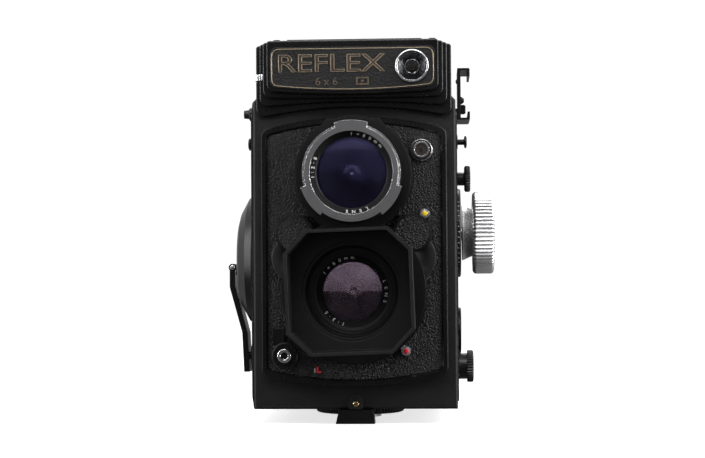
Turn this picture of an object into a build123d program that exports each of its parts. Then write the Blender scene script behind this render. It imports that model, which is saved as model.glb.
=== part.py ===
from build123d import *
from math import atan2, cos, degrees, radians, sin, sqrt
import os

# Twin lens reflex camera.  Millimetres, +X to the right seen from the front, the lenses face -Y, +Z up.
# The origin is the centre of the tripod socket's mouth, in the plane the camera stands on.

# ---- driving dimensions -------------------------------------------------------------------------
BODY_W = 77.0            # width of the casting
BODY_FRONT = -36.0       # y of the casting's front face
BODY_REAR = 34.6         # y of the casting's rear edge
BODY_BOTTOM = 5.5
BODY_TOP = 124.5
FRONT_WALL = 2.8
SIDE_WALL = 4.0
TOP_WALL = 3.0
SKIN = 0.5               # leatherette and cover plate thickness
VIEW_Z = 93.5            # height of the viewing lens axis
TAKE_Z = 50.0            # height of the taking lens axis
MIRROR_RISE = 95.5       # the reflecting plane is z = y + MIRROR_RISE
SCREEN_Y = -2.0          # centre of the focusing screen
CRANK_Y = -1.0
CRANK_Z = 62.5
SPOOL_Y = 21.6           # take-up spool axis
GEAR_MODULE = 0.8
CRANK_TEETH = 42
IDLER_TEETH = 16
SPOOL_TEETH = 26
COUNTER_Y = 10.8
COUNTER_Z = 113.6
FOCUS_Z = 72.6
LOWER_KNOB_Y = -15.0
LOWER_KNOB_Z = 20.4
BATTERY_Y = -8.0
BATTERY_Z = 34.0
STUD_Y = -11.0
STUD_Z = 108.0
STANDARD_BACK = -36.5    # y of the moving front panel's back face
STANDARD_FACE = -39.2
BOARD_FACE = -45.0       # front of the lens board
EAR_X = 22.0             # round ears of the lens board
EAR_Z = 71.6
EAR_R = 7.2
POST_X = 29.0            # guide posts of the standard
POST_HEIGHTS = (24.0, 104.0)
POST_R = 2.0
HOUSING_TOP = 144.0
HOUSING_REAR = -31.0
DOOR_HINGE_Y = 36.6
DOOR_HINGE_Z = 121.2
LID_Y = -29.8            # hood lid hinge
LID_Z = 145.2
FLAP_X = 28.2            # side flap hinges
FLAP_Z = 134.0
REAR_FLAP_Y = 26.2
REAR_FLAP_Z = 131.6
MAGNIFIER_Y = 0.2
MAGNIFIER_Z = 144.5
DIAL_X = 21.0            # thumb wheels
DIAL_Z = 62.5
RELEASE_X = -26.1
RELEASE_Z = 26.1
BUTTON_R = 2.6           # shutter button
COLLAR_R = 3.3           # its guide post
RING_R = 17.5            # base latch ring
RING_Z = 1.8
SOCKET_R = 3.175         # 1/4 inch tripod thread
RUN = 0.05               # radial clearance of a shaft in its hole
PIN_R = 0.4              # hood hinge pins
BARREL_R = 0.8           # hood hinge barrels

SIDE = BODY_W / 2
RECESS_X = -36.0         # floor of the gear recess in the left wall
IDLER_REACH = GEAR_MODULE * (CRANK_TEETH + IDLER_TEETH) / 2
SPOOL_REACH = IDLER_REACH + GEAR_MODULE * (IDLER_TEETH + SPOOL_TEETH) / 2
SPOOL_Z = CRANK_Z + sqrt(SPOOL_REACH**2 - (SPOOL_Y - CRANK_Y) ** 2)
TRAIN_ANGLE = degrees(atan2(SPOOL_Z - CRANK_Z, SPOOL_Y - CRANK_Y))
IDLER_Y = CRANK_Y + IDLER_REACH * cos(radians(TRAIN_ANGLE))
IDLER_Z = CRANK_Z + IDLER_REACH * sin(radians(TRAIN_ANGLE))

os.makedirs("parts", exist_ok=True)


def write(piece, node):
    """Label a finished piece and write it to its own STEP file."""
    piece.part.label = node
    export_step(piece.part, f"parts/{node}.step")


def front(y):
    """A sketch plane at this y, seen from the front: local x is X, local y is Z, extrusions go towards -Y."""
    return Plane.XZ.offset(-y)


def side(x):
    """A sketch plane at this x: local x is Y, local y is Z, extrusions go towards +X."""
    return Plane.YZ.offset(x)


def axis_plane(x, z):
    """A plane holding the optical axis at (x, z): local x is radius, local y runs forward from y = 0."""
    return Plane(origin=(x, 0, z), x_dir=(1, 0, 0), z_dir=(0, 0, 1))


def turned(x, z, profile):
    """Turn a closed (radius, y) profile about the axis parallel to Y through (x, z)."""
    with BuildPart() as piece:
        with BuildSketch(axis_plane(x, z)):
            with BuildLine():
                Polyline(*profile, close=True)
            make_face()
        revolve(axis=Axis((x, 0, z), (0, 1, 0)))
    return piece


def turned_x(y, z, profile):
    """Turn a closed (x, radius) profile about the axis parallel to X through (y, z)."""
    with BuildPart() as piece:
        with BuildSketch(Plane(origin=(0, y, z), x_dir=(1, 0, 0), z_dir=(0, -1, 0))):
            with BuildLine():
                Polyline(*profile, close=True)
            make_face()
        revolve(axis=Axis((0, y, z), (1, 0, 0)))
    return piece


def arched_outline(half_width, z_top, z_top_mid, z_low, z_low_mid, radius, top_radius):
    """Upright panel outline whose top and bottom edges may be shallow arcs, corners rounded."""
    with BuildSketch(Plane.XY, mode=Mode.PRIVATE) as outline:
        with BuildLine():
            Line((-half_width, z_low), (-half_width, z_top))
            if z_top_mid == z_top:
                Line((-half_width, z_top), (half_width, z_top))
            else:
                ThreePointArc((-half_width, z_top), (0, z_top_mid), (half_width, z_top))
            Line((half_width, z_top), (half_width, z_low))
            ThreePointArc((half_width, z_low), (0, z_low_mid), (-half_width, z_low))
        make_face()
        fillet(outline.vertices().group_by(Axis.Y)[0], radius)
        fillet(outline.vertices().group_by(Axis.Y)[-1], top_radius)
    return outline.sketch


def board_outline(margin):
    """Outline of the lens board: taking disc, viewing shield and the two ears, grown by a margin."""
    with BuildSketch(Plane.XY, mode=Mode.PRIVATE) as outline:
        with Locations((0, TAKE_Z)):
            Circle(27.4 + margin)
        with Locations((0, VIEW_Z)):
            Circle(22.2 + margin)
        with Locations((-EAR_X, EAR_Z), (EAR_X, EAR_Z)):
            Circle(EAR_R + margin)
        with BuildLine():
            Polyline((-20.8 - margin, 101), (-9.9 - margin / 2, 114.7 + margin), (9.9 + margin / 2, 114.7 + margin),
                     (20.8 + margin, 101), (17.6 + margin, 78), (-17.6 - margin, 78), close=True)
        make_face()
    return outline.sketch


def gear_outline(teeth):
    """Spur gear with straight-sided teeth, one tooth along local +x."""
    pitch_r = GEAR_MODULE * teeth / 2
    root_r = pitch_r - 0.95 * GEAR_MODULE
    tip_r = pitch_r + 0.70 * GEAR_MODULE
    root_half = 0.85 * GEAR_MODULE
    tip_half = 0.32 * GEAR_MODULE
    Circle(root_r + 0.05)
    with PolarLocations(0, teeth):
        Polygon((root_r - 0.3, -root_half), (tip_r, -tip_half), (tip_r, tip_half), (root_r - 0.3, root_half),
                align=None)


def gear_plane(x, y, z, angle):
    """Plane facing +X whose local x axis points at this angle in the YZ plane."""
    direction = (0, cos(radians(angle)), sin(radians(angle)))
    return Plane(origin=(x, y, z), x_dir=direction, z_dir=(1, 0, 0))


def cap_middle(radius, bulge):
    """Height of a spherical cap's surface over its rim, halfway out from the axis."""
    if bulge == 0:
        return 0
    sphere = (radius**2 + bulge**2) / (2 * bulge)
    return bulge - (sphere - (1 if sphere > 0 else -1) * sqrt(sphere**2 - radius**2 / 4))


def lens_element(x, z, radius, y_front, y_back, front_bulge, back_bulge):
    """A glass element whose two spherical faces bulge by the given amounts."""
    half = radius / 2
    with BuildPart() as element:
        with BuildSketch(axis_plane(x, z)):
            with BuildLine():
                Line((0, y_back + back_bulge), (0, y_front - front_bulge))
                ThreePointArc((0, y_front - front_bulge), (half, y_front - cap_middle(radius, front_bulge)),
                              (radius, y_front))
                Line((radius, y_front), (radius, y_back))
                ThreePointArc((radius, y_back), (half, y_back + cap_middle(radius, back_bulge)),
                              (0, y_back + back_bulge))
            make_face()
        revolve(axis=Axis((x, 0, z), (0, 1, 0)))
    return element.part


# ---- body casting -------------------------------------------------------------------------------
INNER = SIDE - SIDE_WALL
BED = MIRROR_RISE - 1.75         # upper face of the mirror bed, z - y
BED_LOW = BED - 1.4
FLOOR_Z = 72.0                   # underside of the mirror chamber's floor
FLOOR_T = 1.3
CAVITY_TOP = BODY_TOP - TOP_WALL

with BuildPart() as body_casting:
    with BuildSketch(front(BODY_REAR)) as casting_outline:
        with Locations((0, (BODY_BOTTOM + BODY_TOP) / 2)):
            Rectangle(BODY_W, BODY_TOP - BODY_BOTTOM)
        chamfer(casting_outline.vertices().group_by(Axis.Y)[-1], 2.4)
    extrude(amount=BODY_REAR - BODY_FRONT)
    chamfer(body_casting.faces().sort_by(Axis.Y)[0].edges(), 0.7)
    # one cavity, open at the bottom and the rear
    with BuildSketch(Plane.XY.offset(BODY_BOTTOM)):
        with Locations((0, (BODY_FRONT + FRONT_WALL + BODY_REAR) / 2)):
            Rectangle(2 * INNER, BODY_REAR - BODY_FRONT - FRONT_WALL)
    extrude(amount=CAVITY_TOP - BODY_BOTTOM, mode=Mode.SUBTRACT)
    # floor of the mirror chamber and the sloping mirror bed
    inside = BODY_FRONT + FRONT_WALL
    with BuildSketch(side(-INNER)):
        with BuildLine():
            Polyline((inside, FLOOR_Z), (FLOOR_Z - BED_LOW, FLOOR_Z), (CAVITY_TOP - BED_LOW, CAVITY_TOP),
                     (CAVITY_TOP - BED, CAVITY_TOP), (FLOOR_Z + FLOOR_T - BED, FLOOR_Z + FLOOR_T),
                     (inside, FLOOR_Z + FLOOR_T), close=True)
        make_face()
    extrude(amount=2 * INNER)
    # light opening under the focusing screen
    with BuildSketch(Plane.XY.offset(CAVITY_TOP)):
        with Locations((0, SCREEN_Y)):
            Rectangle(54, 52)
    extrude(amount=TOP_WALL, mode=Mode.SUBTRACT)
    # lens openings and guide post holes in the front wall
    with BuildSketch(front(BODY_FRONT)):
        with Locations((0, TAKE_Z)):
            Circle(21.3)
        with Locations((0, VIEW_Z)):
            Circle(16.3)
        with Locations([(x, z) for x in (-POST_X, POST_X) for z in POST_HEIGHTS]):
            Circle(POST_R + RUN)
    extrude(amount=-FRONT_WALL, mode=Mode.SUBTRACT)
    # socket for the base latch bar, behind the lower front edge
    with BuildSketch(front(inside)):
        with Locations((0, 8.1)):
            Rectangle(12, 2.2)
    extrude(amount=2.0, mode=Mode.SUBTRACT)
    # gear recess in the left wall, with the studs of the idler and the counter dial
    with BuildSketch(side(-SIDE)):
        with Locations((CRANK_Y, CRANK_Z)):
            Circle(18.1)
        with Locations((IDLER_Y, IDLER_Z)):
            Circle(7.7)
        with Locations((SPOOL_Y, SPOOL_Z)):
            Circle(11.7)
        with Locations((COUNTER_Y, COUNTER_Z)):
            Circle(9.6)
    extrude(amount=RECESS_X + SIDE, mode=Mode.SUBTRACT)
    with BuildSketch(side(RECESS_X)):
        with Locations((IDLER_Y, IDLER_Z), (COUNTER_Y, COUNTER_Z)):
            Circle(1.5)
    extrude(amount=-2.2)
    # shaft holes: crank and take-up drive at the left, focus shaft, spool knobs and battery at the right
    with BuildSketch(side(-SIDE)):
        with Locations((CRANK_Y, CRANK_Z), (SPOOL_Y, SPOOL_Z)):
            Circle(3.0 + RUN)
    extrude(amount=SIDE_WALL, mode=Mode.SUBTRACT)
    with BuildSketch(side(INNER)):
        with Locations((0, FOCUS_Z)):
            Circle(3.0 + RUN)
        with Locations((SPOOL_Y, SPOOL_Z), (LOWER_KNOB_Y, LOWER_KNOB_Z)):
            Circle(2.75 + RUN)
    extrude(amount=SIDE_WALL, mode=Mode.SUBTRACT)
    with BuildSketch(side(SIDE - 3.3)):
        with Locations((BATTERY_Y, BATTERY_Z)):
            Circle(8.3)
    extrude(amount=3.3, mode=Mode.SUBTRACT)
    # door hinge knuckle and its pin
    with BuildSketch(side(-12)):
        with Locations((DOOR_HINGE_Y, DOOR_HINGE_Z)):
            Circle(1.8)
        with Locations(((BODY_REAR + DOOR_HINGE_Y) / 2, DOOR_HINGE_Z)):
            Rectangle(DOOR_HINGE_Y - BODY_REAR, 3.6)
    extrude(amount=24)
    with BuildSketch(side(-24)):
        with Locations((DOOR_HINGE_Y, DOOR_HINGE_Z)):
            Circle(0.9)
    extrude(amount=48)
    # catch tab on the lower front edge
    with BuildSketch(front(BODY_FRONT)):
        with Locations((0, 8.1)):
            Circle(2.6)
        with Locations((0, 6.8)):
            Rectangle(5.2, 2.6)
    extrude(amount=0.8)
write(body_casting, "body_casting")

# ---- film chamber: light cone and gate in one frame, and the two film rollers --------------------
CONE_FRONT = -32.6
CONE_REAR = 29.0
GATE = 56.0

with BuildPart() as film_chamber_frame:
    for wall, mode in ((1.2, Mode.ADD), (0.0, Mode.SUBTRACT)):
        with BuildSketch(front(CONE_FRONT)):
            with Locations((0, TAKE_Z)):
                Rectangle(22 + 2 * wall, 22 + 2 * wall)
        with BuildSketch(front(CONE_REAR)):
            with Locations((0, TAKE_Z)):
                Rectangle(GATE + 2 * wall, GATE + 2 * wall)
        loft(mode=mode)
    with BuildSketch(front(CONE_REAR)):
        with Locations((0, TAKE_Z - 1)):
            Rectangle(2 * INNER, 66)
        with Locations((0, TAKE_Z)):
            Rectangle(GATE, GATE, mode=Mode.SUBTRACT)
    extrude(amount=-1.4)
write(film_chamber_frame, "film_chamber_frame")

ROLLER_Y = 31.0
with BuildPart() as film_rollers:
    for z in (84.6, 13.0):
        with BuildSketch(side(-29)):
            with Locations((ROLLER_Y, z)):
                Circle(2.2)
        extrude(amount=58)
        with BuildSketch(side(-INNER)):
            with Locations((ROLLER_Y, z)):
                Circle(0.8)
        extrude(amount=2 * INNER)
write(film_rollers, "film_rollers")

# ---- mirror and focusing screen ------------------------------------------------------------------
with BuildPart() as mirror:
    with BuildSketch(side(-27.5)):
        with BuildLine():
            Polyline((-19.5, MIRROR_RISE - 19.5), (20.0, MIRROR_RISE + 20.0),
                     (20.0 + 0.87, MIRROR_RISE + 20.0 - 0.87), (-19.5 + 0.87, MIRROR_RISE - 19.5 - 0.87),
                     close=True)
        make_face()
    extrude(amount=55)
write(mirror, "mirror")

with BuildPart() as focusing_screen:
    with BuildSketch(Plane.XY.offset(BODY_TOP)):
        with Locations((0, SCREEN_Y)):
            Rectangle(57.0, 55.0)
    extrude(amount=1.5)
write(focusing_screen, "focusing_screen")

# ---- side leatherettes ---------------------------------------------------------------------------
with BuildPart() as side_leatherettes:
    with BuildSketch(side(-SIDE - SKIN)):
        with Locations((-1, 63)):
            RectangleRounded(66, 110, 4)
        with Locations((CRANK_Y, CRANK_Z)):
            Circle(26.5, mode=Mode.SUBTRACT)
        with Locations((STUD_Y, STUD_Z)):
            Circle(3.2, mode=Mode.SUBTRACT)
    extrude(amount=-SKIN)
    with BuildSketch(side(SIDE)):
        with Locations((-1, 63)):
            RectangleRounded(66, 110, 4)
        with Locations((0, FOCUS_Z)):
            Circle(18.0, mode=Mode.SUBTRACT)
        with Locations((BATTERY_Y, BATTERY_Z)):
            Circle(9.5, mode=Mode.SUBTRACT)
        with Locations((LOWER_KNOB_Y, LOWER_KNOB_Z), (SPOOL_Y, SPOOL_Z)):
            Circle(7.2, mode=Mode.SUBTRACT)
        with Locations((STUD_Y, STUD_Z)):
            Circle(3.2, mode=Mode.SUBTRACT)
        with Locations((0, 119)):
            Rectangle(24, 8, mode=Mode.SUBTRACT)
    extrude(amount=SKIN)
write(side_leatherettes, "side_leatherettes")

# ---- finder housing: three stepped layers with arched lower edges --------------------------------
HOUSING_LAYERS = (
    # half width, top, lower corner, lower middle, front y
    (37.0, 143.2, 115.5, 119.4, -38.0),
    (35.4, 143.5, 119.6, 121.3, -40.2),
    (33.9, 143.8, 122.8, 122.4, -42.6),
    (32.2, HOUSING_TOP, 125.0, 123.6, -45.4),
)

STEP_ROUND = 0.6         # rounding of each layer's front edge
WHEEL_X = -32.9          # film speed wheel, its edge stands out of the housing's side
WHEEL_Y = -35.9
WHEEL_Z = 129.8
WHEEL_R = 4.6

with BuildPart() as finder_housing:
    back = HOUSING_REAR
    for half, z_top, z_corner, z_mid, y_front in HOUSING_LAYERS:
        with BuildSketch(front(back)):
            add(arched_outline(half, z_top, z_top, z_corner, z_mid, 3.2, 1.2))
        extrude(amount=back - y_front)
        fillet(finder_housing.faces().sort_by(Axis.Y)[0].edges(), STEP_ROUND)
        back = y_front
    # the lower part hangs in front of the casting
    with BuildSketch(Plane.XY.offset(110)):
        with Locations((0, (BODY_FRONT + HOUSING_REAR) / 2 + 2)):
            Rectangle(2 * SIDE, HOUSING_REAR - BODY_FRONT + 4)
    extrude(amount=BODY_TOP - 110, mode=Mode.SUBTRACT)
    # meter pocket under the top window
    with BuildSketch(Plane.XY.offset(HOUSING_TOP)):
        with Locations((-3, -38.2)):
            Rectangle(40, 8.4)
    extrude(amount=-4.5, mode=Mode.SUBTRACT)
    # cell pocket behind the bezel
    with BuildSketch(front(-45.4)):
        with Locations((22.3, 133.8)):
            Circle(6.0)
    extrude(amount=-3.4, mode=Mode.SUBTRACT)
    # slot for the film speed wheel
    with BuildSketch(Plane.XY.offset(WHEEL_Z - 0.4)):
        with Locations((WHEEL_X, WHEEL_Y)):
            Circle(WHEEL_R + 0.3)
    extrude(amount=3.2, mode=Mode.SUBTRACT)
write(finder_housing, "finder_housing")

with BuildPart() as nameplate:
    with BuildSketch(front(-45.4)):
        add(arched_outline(30.8, 141.4, 141.4, 126.6, 124.9, 2.4, 2.4))
        with Locations((22.3, 133.8)):
            Circle(6.3, mode=Mode.SUBTRACT)
    extrude(amount=0.5)
write(nameplate, "nameplate")

meter_bezel = turned(22.3, 133.8, ((6.2, -45.4), (6.2, -46.6), (5.6, -46.9), (2.5, -43.8), (2.5, -42.0),
                                   (5.9, -42.0), (5.9, -45.4)))
write(meter_bezel, "meter_cell_bezel")

with BuildPart() as meter_window:
    with BuildSketch(Plane.XY.offset(HOUSING_TOP - 0.9)):
        with Locations((-3, -38.2)):
            Rectangle(40, 8.4)
    extrude(amount=0.9)
write(meter_window, "meter_window")

NEEDLE_X = -3.0
NEEDLE_Y = -35.2
with BuildPart() as meter_needle:
    with BuildSketch(Plane.XY.offset(HOUSING_TOP - 3.2)):
        with Locations((NEEDLE_X, NEEDLE_Y)):
            Circle(0.9)
        with BuildLine():
            Polyline((NEEDLE_X - 0.3, NEEDLE_Y), (NEEDLE_X + 0.3, NEEDLE_Y),
                     (NEEDLE_X + 0.15, NEEDLE_Y - 6.2), (NEEDLE_X - 0.15, NEEDLE_Y - 6.2), close=True)
        make_face()
    extrude(amount=0.6)
write(meter_needle, "meter_needle")

with BuildPart() as film_speed_wheel:
    with BuildSketch(Plane.XY.offset(WHEEL_Z)):
        with Locations((WHEEL_X, WHEEL_Y)):
            Circle(WHEEL_R)
    extrude(amount=2.4)
write(film_speed_wheel, "film_speed_wheel")

# ---- hood base with its hinge ears and pins ------------------------------------------------------
BASE_X = 30.2
BASE_FRONT = -31.0
BASE_REAR = 28.2
BASE_WALL = 1.2
SIDE_TOP = 132.8
REAR_TOP = 130.5
FRONT_TOP = 143.8
EAR = 1.6                # width of a hinge ear
FLAP_FRONT = -27.8
FLAP_BACK = 24.4

with BuildPart() as hood_base:
    with BuildSketch(Plane.XY.offset(BODY_TOP)):
        with Locations((0, (BASE_FRONT + BASE_REAR) / 2)):
            Rectangle(2 * BASE_X, BASE_REAR - BASE_FRONT)
            Rectangle(2 * (BASE_X - BASE_WALL), BASE_REAR - BASE_FRONT - 2 * BASE_WALL, mode=Mode.SUBTRACT)
    extrude(amount=FRONT_TOP - BODY_TOP)
    with BuildSketch(Plane.XY.offset(SIDE_TOP)):
        with Locations((0, 0)):
            Rectangle(2 * BASE_X, 2 * (-BASE_FRONT - BASE_WALL))
    extrude(amount=FRONT_TOP - SIDE_TOP, mode=Mode.SUBTRACT)
    with BuildSketch(Plane.XY.offset(REAR_TOP)):
        with Locations((0, BASE_REAR)):
            Rectangle(2 * FLAP_X - 4, 4)
    extrude(amount=FRONT_TOP - REAR_TOP, mode=Mode.SUBTRACT)
    # side flap hinges
    for x in (-FLAP_X, FLAP_X):
        for y in (FLAP_FRONT - EAR - 0.2, FLAP_BACK + 0.3):
            with BuildSketch(front(y)):
                with Locations((x, FLAP_Z)):
                    Circle(BARREL_R)
                with Locations((x, (FLAP_Z + SIDE_TOP - 1) / 2)):
                    Rectangle(2 * BARREL_R, FLAP_Z - SIDE_TOP + 1)
            extrude(amount=-EAR)
        with BuildSketch(front(FLAP_FRONT - 0.6)):
            with Locations((x, FLAP_Z)):
                Circle(PIN_R)
        extrude(amount=FLAP_FRONT - FLAP_BACK - 1.2)
    # rear flap hinge
    for x in (-FLAP_X + 2.2, FLAP_X - 2.2 - EAR):
        with BuildSketch(side(x)):
            with Locations((REAR_FLAP_Y, REAR_FLAP_Z)):
                Circle(BARREL_R)
            with Locations((REAR_FLAP_Y + 0.6, REAR_FLAP_Z - 0.9)):
                Rectangle(1.6, 2.0)
        extrude(amount=EAR)
    with BuildSketch(side(-FLAP_X + 3)):
        with Locations((REAR_FLAP_Y, REAR_FLAP_Z)):
            Circle(PIN_R)
    extrude(amount=2 * FLAP_X - 6)
    # lid hinge
    for x in (-28.2, 28.2 - 2):
        with BuildSketch(side(x)):
            with Locations((LID_Y, LID_Z)):
                Circle(0.9)
            with Locations((LID_Y - 0.3, (LID_Z + FRONT_TOP - 1) / 2)):
                Rectangle(1.2, LID_Z - FRONT_TOP + 1)
        extrude(amount=2)
    with BuildSketch(side(-27)):
        with Locations((LID_Y, LID_Z)):
            Circle(PIN_R)
    extrude(amount=54)
write(hood_base, "hood_base")


# ---- hood flaps ----------------------------------------------------------------------------------
FLAP_W = 27.4
FLAP_T = 0.8
for node, sign in (("hood_side_flap_left", -1), ("hood_side_flap_right", 1)):
    hinge = sign * FLAP_X
    with BuildPart() as flap:
        with BuildSketch(Plane.XY.offset(FLAP_Z - FLAP_T / 2)):
            with BuildLine():
                Polyline((hinge, FLAP_FRONT), (hinge - sign * 9.5, FLAP_FRONT),
                         (hinge - sign * FLAP_W, FLAP_FRONT + FLAP_W - 9.5), (hinge - sign * FLAP_W, FLAP_BACK),
                         (hinge, FLAP_BACK), close=True)
            make_face()
        extrude(amount=FLAP_T)
        with BuildSketch(front(FLAP_FRONT)):
            with Locations((hinge, FLAP_Z)):
                Circle(BARREL_R)
        extrude(amount=FLAP_FRONT - FLAP_BACK)
        with BuildSketch(front(FLAP_FRONT)):
            with Locations((hinge, FLAP_Z)):
                Circle(PIN_R + RUN)
        extrude(amount=FLAP_FRONT - FLAP_BACK, mode=Mode.SUBTRACT)
    write(flap, node)

REAR_W = 17.5            # reach of the rear flap
REAR_HALF = 24.2
with BuildPart() as hood_rear_flap:
    with BuildSketch(Plane.XY.offset(REAR_FLAP_Z - FLAP_T / 2)):
        with BuildLine():
            Polyline((-REAR_HALF, REAR_FLAP_Y), (-REAR_HALF, REAR_FLAP_Y - 4.6),
                     (-REAR_HALF + REAR_W - 4.6, REAR_FLAP_Y - REAR_W), (REAR_HALF - REAR_W + 4.6, REAR_FLAP_Y - REAR_W),
                     (REAR_HALF, REAR_FLAP_Y - 4.6), (REAR_HALF, REAR_FLAP_Y), close=True)
        make_face()
    extrude(amount=FLAP_T)
    with BuildSketch(side(-REAR_HALF)):
        with Locations((REAR_FLAP_Y, REAR_FLAP_Z)):
            Circle(BARREL_R)
    extrude(amount=2 * REAR_HALF)
    with BuildSketch(side(-REAR_HALF)):
        with Locations((REAR_FLAP_Y, REAR_FLAP_Z)):
            Circle(PIN_R + RUN)
    extrude(amount=2 * REAR_HALF, mode=Mode.SUBTRACT)
write(hood_rear_flap, "hood_rear_flap")

# ---- hood lid with deep side skirts --------------------------------------------------------------
LID_UNDER = LID_Z + 0.3
LID_T = 1.0
LID_X = 31.2
LID_BACK = 29.2
SKIRT_T = 0.6
DOOR_Y = -1.0            # centre of the sports finder door
with BuildPart() as hood_lid:
    with BuildSketch(Plane.XY.offset(LID_UNDER)):
        with Locations((0, (LID_Y - 0.6 + LID_BACK) / 2)):
            RectangleRounded(2 * LID_X, LID_BACK - LID_Y + 0.6, 1.0)
        with Locations((-27.2, LID_Y), (27.2, LID_Y)):
            Rectangle(2.8, 2.8, mode=Mode.SUBTRACT)
    extrude(amount=LID_T)
    with BuildSketch(Plane.XY.offset(LID_UNDER)):
        with Locations((-LID_X + SKIRT_T / 2, 0.6), (LID_X - SKIRT_T / 2, 0.6)):
            Rectangle(SKIRT_T, 2 * (LID_BACK - 0.6))
    extrude(amount=-14.5)
    with BuildSketch(Plane.XY.offset(LID_UNDER)):
        with Locations((0, LID_BACK - SKIRT_T / 2)):
            Rectangle(2 * LID_X, SKIRT_T)
    extrude(amount=-10.5)
    with BuildSketch(side(-25.6)):
        with Locations((LID_Y, LID_Z)):
            Circle(0.85)
    extrude(amount=51.2)
    with BuildSketch(side(-27)):
        with Locations((LID_Y, LID_Z)):
            Circle(PIN_R + RUN)
    extrude(amount=54, mode=Mode.SUBTRACT)
    # pressed recess around the closed sports finder door
    with BuildSketch(Plane.XY.offset(LID_UNDER + LID_T)):
        with Locations((0, DOOR_Y)):
            RectangleRounded(44, 42, 3)
            RectangleRounded(31, 29, 2, mode=Mode.SUBTRACT)
    extrude(amount=-0.4, mode=Mode.SUBTRACT)
    with BuildSketch(Plane.XY.offset(LID_UNDER + LID_T)):
        with Locations((0, DOOR_Y)):
            RectangleRounded(24, 22, 1.5)
            RectangleRounded(22.8, 20.8, 1.0, mode=Mode.SUBTRACT)
        with Locations((0, LID_BACK - 3.2)):
            SlotOverall(12, 1.6)
    extrude(amount=-0.4, mode=Mode.SUBTRACT)
    # lugs and pin of the magnifier
    for x in (-12.2, 10.6):
        with BuildSketch(side(x)):
            with Locations((MAGNIFIER_Y, (MAGNIFIER_Z - 0.8 + LID_UNDER) / 2)):
                Rectangle(1.6, LID_UNDER - MAGNIFIER_Z + 0.8)
        extrude(amount=1.6)
    with BuildSketch(side(-11)):
        with Locations((MAGNIFIER_Y, MAGNIFIER_Z)):
            Circle(PIN_R)
    extrude(amount=22)
write(hood_lid, "hood_lid")

LENS_Y = MAGNIFIER_Y + 14.4
with BuildPart() as magnifier_frame:
    with BuildSketch(Plane.XY.offset(MAGNIFIER_Z - 4.4)):
        with Locations((0, LENS_Y)):
            Circle(12.0)
            Circle(10.2, mode=Mode.SUBTRACT)
    extrude(amount=4.0)
    with BuildSketch(Plane.XY.offset(MAGNIFIER_Z - 1.2)):
        with Locations((0, MAGNIFIER_Y + 2.4)):
            Rectangle(20, 4.8)
        with Locations((0, LENS_Y)):
            Circle(11.0, mode=Mode.SUBTRACT)
    extrude(amount=0.8)
    with BuildSketch(side(-10.3)):
        with Locations((MAGNIFIER_Y, MAGNIFIER_Z)):
            Circle(0.75)
        with Locations((MAGNIFIER_Y + 0.2, MAGNIFIER_Z - 0.75)):
            Rectangle(1.0, 0.9)
    extrude(amount=20.6)
    with BuildSketch(side(-10.3)):
        with Locations((MAGNIFIER_Y, MAGNIFIER_Z)):
            Circle(PIN_R + RUN)
    extrude(amount=20.6, mode=Mode.SUBTRACT)
write(magnifier_frame, "magnifier_frame")

MAGNIFIER_BULGE = 1.1
with BuildPart() as magnifier_lens:
    with BuildSketch(Plane(origin=(0, LENS_Y, MAGNIFIER_Z - 2.4), x_dir=(1, 0, 0), z_dir=(0, -1, 0))):
        with BuildLine():
            middle = 0.5 + cap_middle(10.2, MAGNIFIER_BULGE)
            Line((0, -0.5 - MAGNIFIER_BULGE), (0, 0.5 + MAGNIFIER_BULGE))
            ThreePointArc((0, 0.5 + MAGNIFIER_BULGE), (5.1, middle), (10.2, 0.5))
            Line((10.2, 0.5), (10.2, -0.5))
            ThreePointArc((10.2, -0.5), (5.1, -middle), (0, -0.5 - MAGNIFIER_BULGE))
        make_face()
    revolve(axis=Axis((0, LENS_Y, 0), (0, 0, 1)))
write(magnifier_lens, "magnifier_lens")

# ---- winding side ---------------------------------------------------------------------------------
with BuildPart() as winding_cover:
    with BuildSketch(side(-SIDE)):
        with Locations((-0.6, 64.0)):
            RectangleRounded(68.0, 117.0, 3.5)
        with Locations((STUD_Y, STUD_Z)):
            Circle(3.2, mode=Mode.SUBTRACT)
    extrude(amount=-SKIN)
    with BuildSketch(Plane(origin=(0, CRANK_Y, CRANK_Z), x_dir=(1, 0, 0), z_dir=(0, -1, 0))):
        with BuildLine():
            Polyline((-SIDE, 0), (-SIDE, 26.2), (-40.6, 26.2), (-43.4, 24.6), (-46.4, 19.2), (-47.4, 15.6),
                     (-47.4, 13.4), (-46.5, 12.6), (-46.5, 0), close=True)
        make_face()
    revolve(axis=Axis((0, CRANK_Y, CRANK_Z), (1, 0, 0)))
    with BuildSketch(side(-SIDE)):
        with Locations((CRANK_Y, CRANK_Z)):
            Circle(3.0 + RUN)
    extrude(amount=-10, mode=Mode.SUBTRACT)
write(winding_cover, "winding_cover")

PIN_X = -50.4            # crank fold pin, parallel to Y
PIN_Z = 59.4
HANDLE_Z = 24.3
with BuildPart() as crank_hub:
    with BuildSketch(Plane(origin=(0, CRANK_Y, CRANK_Z), x_dir=(1, 0, 0), z_dir=(0, -1, 0))):
        with BuildLine():
            Polyline((-34.8, 0), (-34.8, 3.0), (-46.9, 3.0), (-46.9, 10.6), (-47.3, 11.2), (-47.8, 10.6),
                     (-47.8, 5.4), (-48.4, 5.0), (-48.4, 0), close=True)
        make_face()
    revolve(axis=Axis((0, CRANK_Y, CRANK_Z), (1, 0, 0)))
    # lug that carries the fold pin, and the pin
    with BuildSketch(front(CRANK_Y - 2.5)):
        with Locations((PIN_X, PIN_Z)):
            Circle(1.5)
        with Locations(((PIN_X - 47.8) / 2, PIN_Z)):
            Rectangle(-47.8 - PIN_X, 3.0)
    extrude(amount=-5)
    with BuildSketch(front(CRANK_Y - 5.2)):
        with Locations((PIN_X, PIN_Z)):
            Circle(0.8)
    extrude(amount=-10.4)
write(crank_hub, "crank_hub")

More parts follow.
